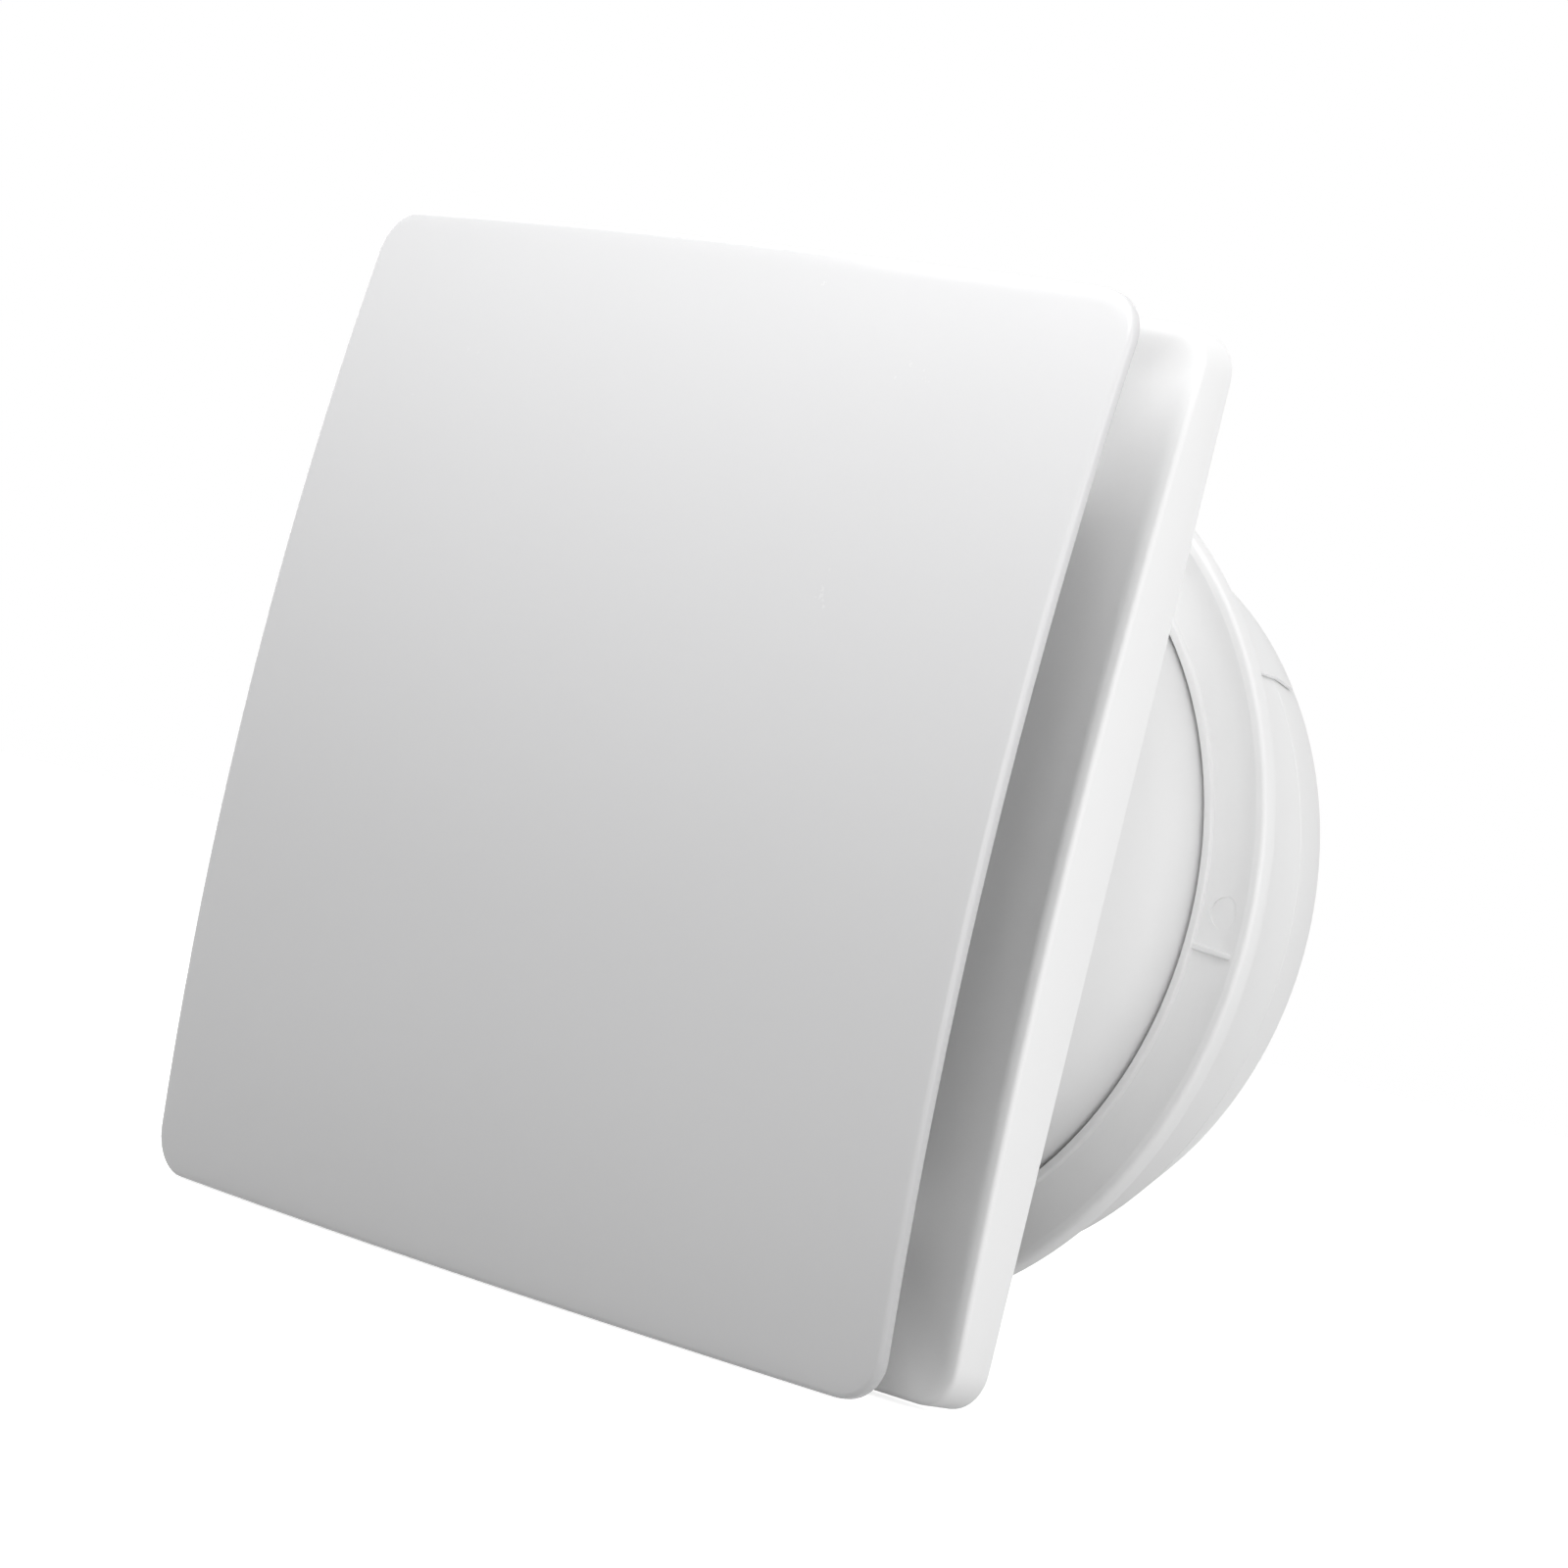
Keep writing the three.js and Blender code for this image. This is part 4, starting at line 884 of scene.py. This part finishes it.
bridge_hub = lathe(
    [
        (5, BRIDGE_FRONT, 0.3), (CAN_RADIUS + 2, BRIDGE_FRONT, 0.4),
        (CAN_RADIUS + 2, BRIDGE_BACK, 0.8), (CAN_RADIUS - 0.5, BRIDGE_BACK, 0.8),
        (CAN_RADIUS - 1.2, BRIDGE_BACK - 0.5, 0.5),
        (9, BRIDGE_BACK - 0.5, 0.5), (8.4, BRIDGE_BACK + 1.4, 0.6), (5, BRIDGE_BACK + 1.4, 0.5),
    ],
    96, 4,
)
arm = block((10, BOSS_RING + BOSS_RADIUS), (BRIDGE_FRONT, BRIDGE_BACK), (-5, 5), 0.7, 3)
arm_rib = block((9, BOSS_RING - 8), (BRIDGE_BACK - 1, bridge_high.y), (-1.1, 1.1), 0.5, 3)
screw_pads = [
    rod(4.2, BRIDGE_FRONT + 0.4, BRIDGE_BACK, *polar(26, turn), 0.3) for turn in MOTOR_TURNS
]
bridge = joined(bridge_hub, around(joined(arm, arm_rib), BRIDGE_TURNS), *screw_pads)
piece("bridge_arms", bridge, "frame_body", "case_white", "motor_bridge")

# ---------- impeller ----------
wheel_low, wheel_high = span("impeller")
HUB_RADIUS = 30
HUB_FRONT = wheel_low.y
HUB_BACK = wheel_high.y
BLADE_MIDDLE = (HUB_FRONT + HUB_BACK) / 2
BLADE_TIP = DUCT_BORE - 2
BLADES = 7
ROOT_PITCH, TIP_PITCH = 46, 25
ROOT_CHORD, TIP_CHORD = 27, 46
BLADE_SWEEP = 14


def blade_section(radius, steps=14):
    """A rounded aerofoil wrapped on a cylinder of this radius."""
    share = (radius - HUB_RADIUS) / (BLADE_TIP - HUB_RADIUS)
    pitch = radians(ROOT_PITCH + (TIP_PITCH - ROOT_PITCH) * share)
    chord = ROOT_CHORD + (TIP_CHORD - ROOT_CHORD) * share
    chord *= 1 - 0.16 * max(0, (share - 0.86) / 0.14) ** 3
    thick = 2 * (1 - 0.35 * share)
    sweep = radians(BLADE_SWEEP) * share
    sides = []
    for k in range(steps):
        along = 0.5 * cos(2 * pi * k / steps)
        bulge = sqrt(max(0, 1 - (2 * along) ** 2))
        across = (0.62 if k < steps / 2 else -0.38) * bulge**0.7
        sides.append((along, across))
    points = []
    for along, across in sides:
        camber = 0.07 * chord * (1 - (2 * along) ** 2)
        normal = across * thick + camber
        sideways = along * chord * cos(pitch) - normal * sin(pitch)
        depth = along * chord * sin(pitch) + normal * cos(pitch)
        angle = sweep + sideways / radius
        points.append((radius * cos(angle), BLADE_MIDDLE + depth, radius * sin(angle)))
    return points


blade_root = [(x * 0.95, y, z * 0.95) for x, y, z in blade_section(HUB_RADIUS)]
blade_radii = [HUB_RADIUS - 1 + (BLADE_TIP - HUB_RADIUS + 1) * k / 16 for k in range(1, 17)]
blade = skinned([blade_root] + [blade_section(max(radius, HUB_RADIUS)) for radius in blade_radii])
blades = around(blade, [360 * k / BLADES for k in range(BLADES)])
SHAFT_BORE = 2.8
wheel_hub = lathe(
    [
        (SHAFT_BORE, HUB_FRONT, 0.2), (7.5, HUB_FRONT, 0.4), (8, HUB_FRONT + 0.7, 0.6),
        (HUB_RADIUS - 9, HUB_FRONT + 0.7, 1), (HUB_RADIUS - 8, HUB_FRONT, 0.8),
        (HUB_RADIUS - 0.1, HUB_FRONT, 5.6), (HUB_RADIUS, HUB_BACK, 0.4),
        (HUB_RADIUS - 2, HUB_BACK, 0.4), (HUB_RADIUS - 2.1, HUB_FRONT + 2, 4),
        (7, HUB_FRONT + 2, 1), (7, HUB_BACK - 3, 0.3), (SHAFT_BORE, HUB_BACK - 3, 0.3),
    ],
    112, 5,
)
hub_rib = block((6, HUB_RADIUS - 1.5), (HUB_FRONT + 1.4, HUB_BACK - 6), (-0.7, 0.7), 0.25)
hub_ribs = around(hub_rib, range(0, 360, 60))
wheel = joined(wheel_hub, blades, hub_ribs)
piece("impeller_wheel", wheel, "fan_rotor", "impeller_white", "impeller")

nut_low, nut_high = span("impeller_nut")
NUT_ACROSS = 10
hexagon = [polar(NUT_ACROSS / sqrt(3), 30 + 60 * k) for k in range(6)]
nut = softened(plate(hexagon, nut_low.y, nut_high.y), 0.5, 3)
carved(nut, rod(SHAFT_BORE, nut_low.y - 1, nut_high.y + 1))
piece("wheel_nut", nut, "fan_rotor", "brass", "impeller_nut")

# ---------- outer ring ----------
def channel_depth(share):
    """Depth of the dished channel, from the lip (0) to the rim (1)."""
    if share < 0.45:
        return LIP_DROP + (CHANNEL_DEPTH - LIP_DROP) * sin(share / 0.45 * pi / 2)
    return CHANNEL_DEPTH * cos((share - 0.45) / 0.55 * pi / 2)


CHANNEL_WIDTH = RIM_INNER_RADIUS - LIP_OUTER
channel = [
    (LIP_OUTER + CHANNEL_WIDTH * share, RING_FACE + channel_depth(share))
    for share in [0.03 + 0.97 * k / 14 for k in range(14)]
]
ring = lathe(
    [
        (SLEEVE_BORE, RING_FACE, 0.45), (LIP_OUTER, RING_FACE, 0.55), *channel,
        (RIM_INNER_RADIUS, RING_FACE, 0.8), (RING_RADIUS, RING_FACE, 1.2),
        (RING_RADIUS, RING_FACE + RING_SKIRT, 0.4),
        (RING_RADIUS - 2.2, RING_FACE + RING_SKIRT, 0.4),
        (RING_RADIUS - RIM_WIDTH, RING_FLOOR_BACK, 0.6),
        (SLEEVE_RADIUS, RING_FLOOR_BACK, 2.4), (SLEEVE_RADIUS, SLEEVE_BACK, 0.1),
        (SLEEVE_BORE, SLEEVE_BACK, 0.1),
    ],
    224, 5,
)
lock_hole = aimed(rod(LOCK_RADIUS + GAP, -RING_RADIUS, RING_RADIUS), (0, 0, 1))
carved(ring, shifted(lock_hole, y=LOCK_DEPTH))
RIB_TURNS = [-3.3 + 60 * k for k in range(6)]
MARK_RADIUS = 3.9
MARK_RING = 104.2
MARK_SINK = 0.12
MARK_TURN = 5.3
channel_rib = block(
    (LIP_OUTER - 0.7, RIM_INNER_RADIUS + 0.6), (RING_FACE + 0.4, RING_FLOOR_FRONT + 0.8),
    (-0.8, 0.8), 0.45, 3,
)
channel_ribs = around(channel_rib, RIB_TURNS)
ejector_mark = rod(MARK_RADIUS, RING_FACE, RING_FLOOR_FRONT + MARK_SINK, MARK_RING, 0, 0, 48)
carved(ring, around(ejector_mark, [turn + MARK_TURN for turn in RIB_TURNS]))
piece("ring_flange", joined(ring, channel_ribs), "outer_unit", "case_white", "outer_ring")

# ---------- lock screws ----------
HEAD_RADIUS = 4
for name, side in (("top", 1), ("bottom", -1)):
    low, high = span(f"lock_screw_{name}")
    outer = max(abs(low.z), abs(high.z))
    inner = min(abs(low.z), abs(high.z))
    head_back = SLEEVE_RADIUS + GAP
    screw = lathe(
        [
            (0, inner), (LOCK_RADIUS, inner, 0.4), (LOCK_RADIUS, head_back),
            (HEAD_RADIUS - 0.4, head_back, 0.2), (HEAD_RADIUS - 0.1, outer, 0.5), (0, outer),
        ],
        48, 3, closed=False,
    )
    knurl = [
        rod(0.32, head_back + 0.2, outer - 0.45, *polar(HEAD_RADIUS - 0.3, turn), 0.15, 8)
        for turn in range(0, 360, 15)
    ]
    screw = joined(screw, *knurl)
    carved(screw, block((-0.5, 0.5), (outer - 1.1, outer + 1), (-5, 5)))
    screw = shifted(aimed(screw, (0, 0, side)), y=LOCK_DEPTH)
    piece(f"lock_knob_{name}", screw, "outer_unit", "screw_steel", f"lock_screw_{name}")

# ---------- rain visor ----------
def hood_share(depth):
    """0 on the sleeve, 1 at the hood's back edge."""
    return max(0, (depth - CAP_FRONT) / (HOOD_BACK - CAP_FRONT))


def hood_radius(depth):
    return SLEEVE_RADIUS - HOOD_TAPER * hood_share(depth)


visor_low, visor_high = span("rain_visor")
VISOR_THICK = 0.75
VISOR_FROM, VISOR_TO = 40, 140
visor_profile = rounded(
    [
        (GAP, visor_low.y, 0.1), (GAP + VISOR_THICK, visor_low.y, 0.45),
        (GAP + VISOR_THICK, CAP_FRONT), (GAP + VISOR_THICK, visor_high.y, 0.45),
        (GAP, visor_high.y, 0.1), (GAP, CAP_FRONT),
    ],
    3,
)
VISOR_STEPS = 100
visor_rings = []
for k in range(VISOR_STEPS + 1):
    turn = VISOR_FROM + (VISOR_TO - VISOR_FROM) * k / VISOR_STEPS
    ring = []
    for proud, depth in visor_profile:
        x, z = polar(hood_radius(depth) + proud, turn)
        ring.append((x, depth, z + HOOD_RAISE * hood_share(depth)))
    visor_rings.append(ring)
piece("visor_strip", skinned(visor_rings), "outer_unit", "case_white", "rain_visor")

# ---------- shutter frame ----------
CAP_OPENING = SLEEVE_RADIUS - CAP_RIM
LEDGE_WIDTH = 5
LEDGE_THICK = 1.6
LEDGE_OPENING = CAP_OPENING - LEDGE_WIDTH
LEDGE_BACK = CAP_FRONT + 0.5
LEDGE_FRONT = LEDGE_BACK - LEDGE_THICK
SPIGOT_WALL = 2.4
SPIGOT_BORE = SLEEVE_BORE - GAP - SPIGOT_WALL
SLATS = 4
SHUTTER_MARGIN = 17
SLAT_PITCH = 2 * (LEDGE_OPENING - SHUTTER_MARGIN) / SLATS
SLAT_TOPS = [(SLATS / 2 - k) * SLAT_PITCH for k in range(SLATS)]
SLAT_FRONT = LEDGE_BACK + 1.8
SLAT_THICK = 1.6
SLAT_CLEAR = 3
SLAT_RADIUS = CAP_OPENING - SLAT_CLEAR
PIN_DEPTH = LEDGE_BACK + 2.2
KNUCKLE = 1.9


def disc_strip(radius, low, high, steps=24):
    """The part of a disc between two heights, as (x, z) points."""
    start, end = asin(low / radius), asin(high / radius)
    right = [start + (end - start) * k / steps for k in range(steps + 1)]
    return [(radius * cos(t), radius * sin(t)) for t in right] + [
        (-radius * cos(t), radius * sin(t)) for t in reversed(right)
    ]


rim = lathe(
    [
        (SPIGOT_BORE, cap_low.y, 0.4), (SLEEVE_BORE - GAP, cap_low.y, 0.4),
        (SLEEVE_BORE - GAP, SLEEVE_BACK + 0.03), (SLEEVE_RADIUS, SLEEVE_BACK + 0.03, 0.1),
        (SLEEVE_RADIUS, CAP_FRONT, 0), (hood_radius(HOOD_BACK), HOOD_BACK, 0.8),
        (hood_radius(HOOD_BACK) - HOOD_WALL, HOOD_BACK, 0.7),
        (hood_radius(CAP_BACK) - HOOD_WALL, CAP_BACK, 1), (CAP_OPENING, CAP_BACK, 0.7),
        (CAP_OPENING, LEDGE_BACK - 0.4), (SPIGOT_BORE, LEDGE_BACK - 0.4),
    ],
    224, 6,
)
# The hood's back edge sits a little above the fan axis, so it is drawn up as it tapers.
for vertex in rim.data.vertices:
    radius, depth = hypot(vertex.co.x, vertex.co.z) / MM, vertex.co.y / MM
    outside = min(1, max(0, (radius - CAP_OPENING) / 3))
    vertex.co.z += HOOD_RAISE * hood_share(depth) * outside * MM
grid = lathe(
    [
        (0, LEDGE_FRONT), (CAP_OPENING + 1, LEDGE_FRONT), (CAP_OPENING + 1, LEDGE_BACK),
        (0, LEDGE_BACK),
    ],
    160, 2, closed=False,
)
for top in SLAT_TOPS:
    window = disc_strip(LEDGE_OPENING, top - SLAT_PITCH + 3.5, top - 4.5)
    carved(grid, plate(window, LEDGE_FRONT - 1, LEDGE_BACK + 1))
grid = softened(grid, 0.3, 2, 50)
STOP_HEIGHT = 1.7
stops = []
for top in SLAT_TOPS:
    low = top - SLAT_PITCH + 1.6
    high = low + STOP_HEIGHT
    reach = sqrt(CAP_OPENING**2 - max(low**2, high**2)) - 1
    depths = (LEDGE_BACK - 0.5, SLAT_FRONT - GAP)
    stops.append(block((-reach, reach), depths, (low, high), 0.35))
LUG_HALF = 2.4
lug_depths = (LEDGE_BACK - 0.4, PIN_DEPTH + 2.2)
lugs = []
for top in SLAT_TOPS:
    height = top - KNUCKLE
    edge = sqrt(CAP_OPENING**2 - height**2)
    for side in (1, -1):
        xs = sorted((side * (edge - 1.3), side * (edge + 1.5)))
        lugs.append(block(xs, lug_depths, (height - LUG_HALF, height + LUG_HALF), 0.4))
shutter_rim = joined(rim, grid, *stops, *lugs)
piece("shutter_rim", shutter_rim, "outer_unit", "case_white", "shutter_frame")

# ---------- shutter slats and their pins ----------
def reach_at(level):
    """Half the width of a slat at a height."""
    return sqrt(SLAT_RADIUS**2 - level**2) - 0.6


SLAT_BACK = SLAT_FRONT + SLAT_THICK
SLAT_LIP = 3
BEAD_LIFTS = (9, 15, 21)
BEAD_HEIGHT = 1.2
for number, top in enumerate(SLAT_TOPS, 1):
    low = top - SLAT_PITCH + 1
    height = top - KNUCKLE
    sheet = plate(disc_strip(SLAT_RADIUS, low, top - 1), SLAT_FRONT, SLAT_BACK)
    sheet = softened(sheet, 0.4, 3, 50)

    lip_reach = min(reach_at(low), reach_at(low + SLAT_THICK))
    lip = block(
        (-lip_reach, lip_reach), (SLAT_FRONT + 0.5, SLAT_BACK + SLAT_LIP),
        (low, low + SLAT_THICK), 0.5, 3,
    )
    knuckle_reach = min(reach_at(top), reach_at(top - 2 * KNUCKLE))
    knuckle = aimed(rod(KNUCKLE, -knuckle_reach, knuckle_reach, round_=0.4), (1, 0, 0))
    knuckle = shifted(knuckle, y=PIN_DEPTH, z=height)
    bead_reach = min(reach_at(low + 9), reach_at(low + 20)) - 9
    beads = [
        block(
            (-bead_reach, bead_reach), (SLAT_BACK - 0.4, SLAT_BACK + 0.5),
            (low + lift, low + lift + BEAD_HEIGHT), 0.35, 3,
        )
        for lift in BEAD_LIFTS
    ]
    slat = joined(sheet, lip, knuckle, *beads)
    piece(f"slat_{number}_leaf", slat, f"slat_{number}", "case_white", f"shutter_slat_{number}")
    pin_low, pin_high = span(f"shutter_pin_{number}")
    pin = aimed(rod(1, pin_low.x, pin_high.x, round_=0.2, steps=24), (1, 0, 0))
    pin = shifted(pin, y=PIN_DEPTH, z=height)
    piece(f"slat_{number}_pin", pin, "outer_unit", "screw_steel", f"shutter_pin_{number}")

# ---------- camera ----------
# Angles in radians and lengths in metres, solved from the photo's outlines.
CAMERA_TURN = 0.754
CAMERA_LIFT = -0.029
CAMERA_ROLL = 0.241
CAMERA_DISTANCE = 1.083
CAMERA_TARGET = Vector((0.0552, -0.0376, 0.00715))
LENS_LENGTH = 109.36
back = Vector((
    sin(CAMERA_TURN) * cos(CAMERA_LIFT), -cos(CAMERA_TURN) * cos(CAMERA_LIFT), sin(CAMERA_LIFT)
))
level = (-back).cross(Vector((0, 0, 1))).normalized()
upright = level.cross(-back)
across = cos(CAMERA_ROLL) * level + sin(CAMERA_ROLL) * upright
above = -sin(CAMERA_ROLL) * level + cos(CAMERA_ROLL) * upright
lens = bpy.data.cameras.new("camera")
lens.lens = LENS_LENGTH
lens.sensor_width = 36
lens.clip_start = 0.05
camera = bpy.data.objects.new("camera", lens)
camera.matrix_world = Matrix.Translation(CAMERA_TARGET + back * CAMERA_DISTANCE) @ Matrix(
    (across, above, back)
).transposed().to_4x4()
bpy.context.scene.collection.objects.link(camera)
bpy.context.scene.camera = camera

# ---------- floor ----------
FLOOR_HALF = 20000
FLOOR_GLOW = 0.76
floor = form(
    [(x * FLOOR_HALF, y * FLOOR_HALF, 0) for x, y in ((-1, -1), (1, -1), (1, 1), (-1, 1))],
    [(0, 1, 2, 3)],
)
floor.location.z = cad_box[0].z - 0.0004
floor.name = "floor"
floor_finish = bpy.data.materials.new("floor_white")
floor_finish.use_nodes = True
floor_finish.node_tree.nodes.clear()
wire = Wire(floor_finish.node_tree)
seen = wire.node("LightPath", output="Is Camera Ray")
mirrored = wire.node("LightPath", output="Is Glossy Ray")
dust = wire.noise(wire.node("TexCoord", output="Object"), 30, 3)
pale = wire.mixed(dust, (0.8, 0.8, 0.8, 1), (0.84, 0.84, 0.84, 1))
matt = wire.mixed(seen, (0.55, 0.55, 0.55, 1), pale)
dull = wire.node("BsdfDiffuse", None, {"Color": matt, "Roughness": 0.5})
shown = (seen + mirrored).clamped()
glow = wire.node("Emission", None, {"Color": (1, 1, 1, 1), "Strength": shown * FLOOR_GLOW})
both = wire.node("AddShader", None, {0: dull, 1: glow})
end = floor_finish.node_tree.nodes.new("ShaderNodeOutputMaterial")
floor_finish.node_tree.links.new(both.socket, end.inputs["Surface"])
floor.data.materials.append(floor_finish)

# ---------- light ----------
world = bpy.data.worlds.new("studio")
bpy.context.scene.world = world
world.use_nodes = True
world.node_tree.nodes.clear()
wire = Wire(world.node_tree)
seen = wire.node("LightPath", output="Is Camera Ray")
mirrored = wire.node("LightPath", output="Is Glossy Ray")
AMBIENT = 0.36
shown = (seen + mirrored).clamped()
strength = AMBIENT + (1 - AMBIENT) * shown
glow = wire.node("Background", None, {"Color": (1, 1, 1, 1), "Strength": strength})
end = world.node_tree.nodes.new("ShaderNodeOutputWorld")
world.node_tree.links.new(glow.socket, end.inputs["Surface"])


def lamp(name, place, target, width, height, watts):
    """A soft rectangular lamp, in metres, that the camera doesn't see."""
    light = bpy.data.lights.new(name, "AREA")
    light.shape = "RECTANGLE"
    light.size, light.size_y = width, height
    light.energy = watts
    thing = bpy.data.objects.new(name, light)
    aim = Vector(target) - Vector(place)
    thing.rotation_euler = aim.to_track_quat("-Z", "Y").to_euler()
    thing.location = place
    thing.visible_camera = False
    bpy.context.scene.collection.objects.link(thing)


lamp("over_panel", (0.02, -0.36, 0.50), (0, -0.03, 0.05), 0.8, 0.4, 3.2)
lamp("front_right", (0.95, -0.75, -0.2), (0, 0.02, 0.0), 1.2, 1.0, 8.5)
lamp("right_side", (1.15, 0.3, 0.05), (0, 0.02, 0.0), 1.0, 1.0, 6.2)
lamp("left_side", (-1.25, 0.4, 0.5), (0, 0.02, 0.0), 1.2, 1.2, 5.5)

# ---------- end ----------
bpy.context.scene.view_settings.view_transform = "Standard"
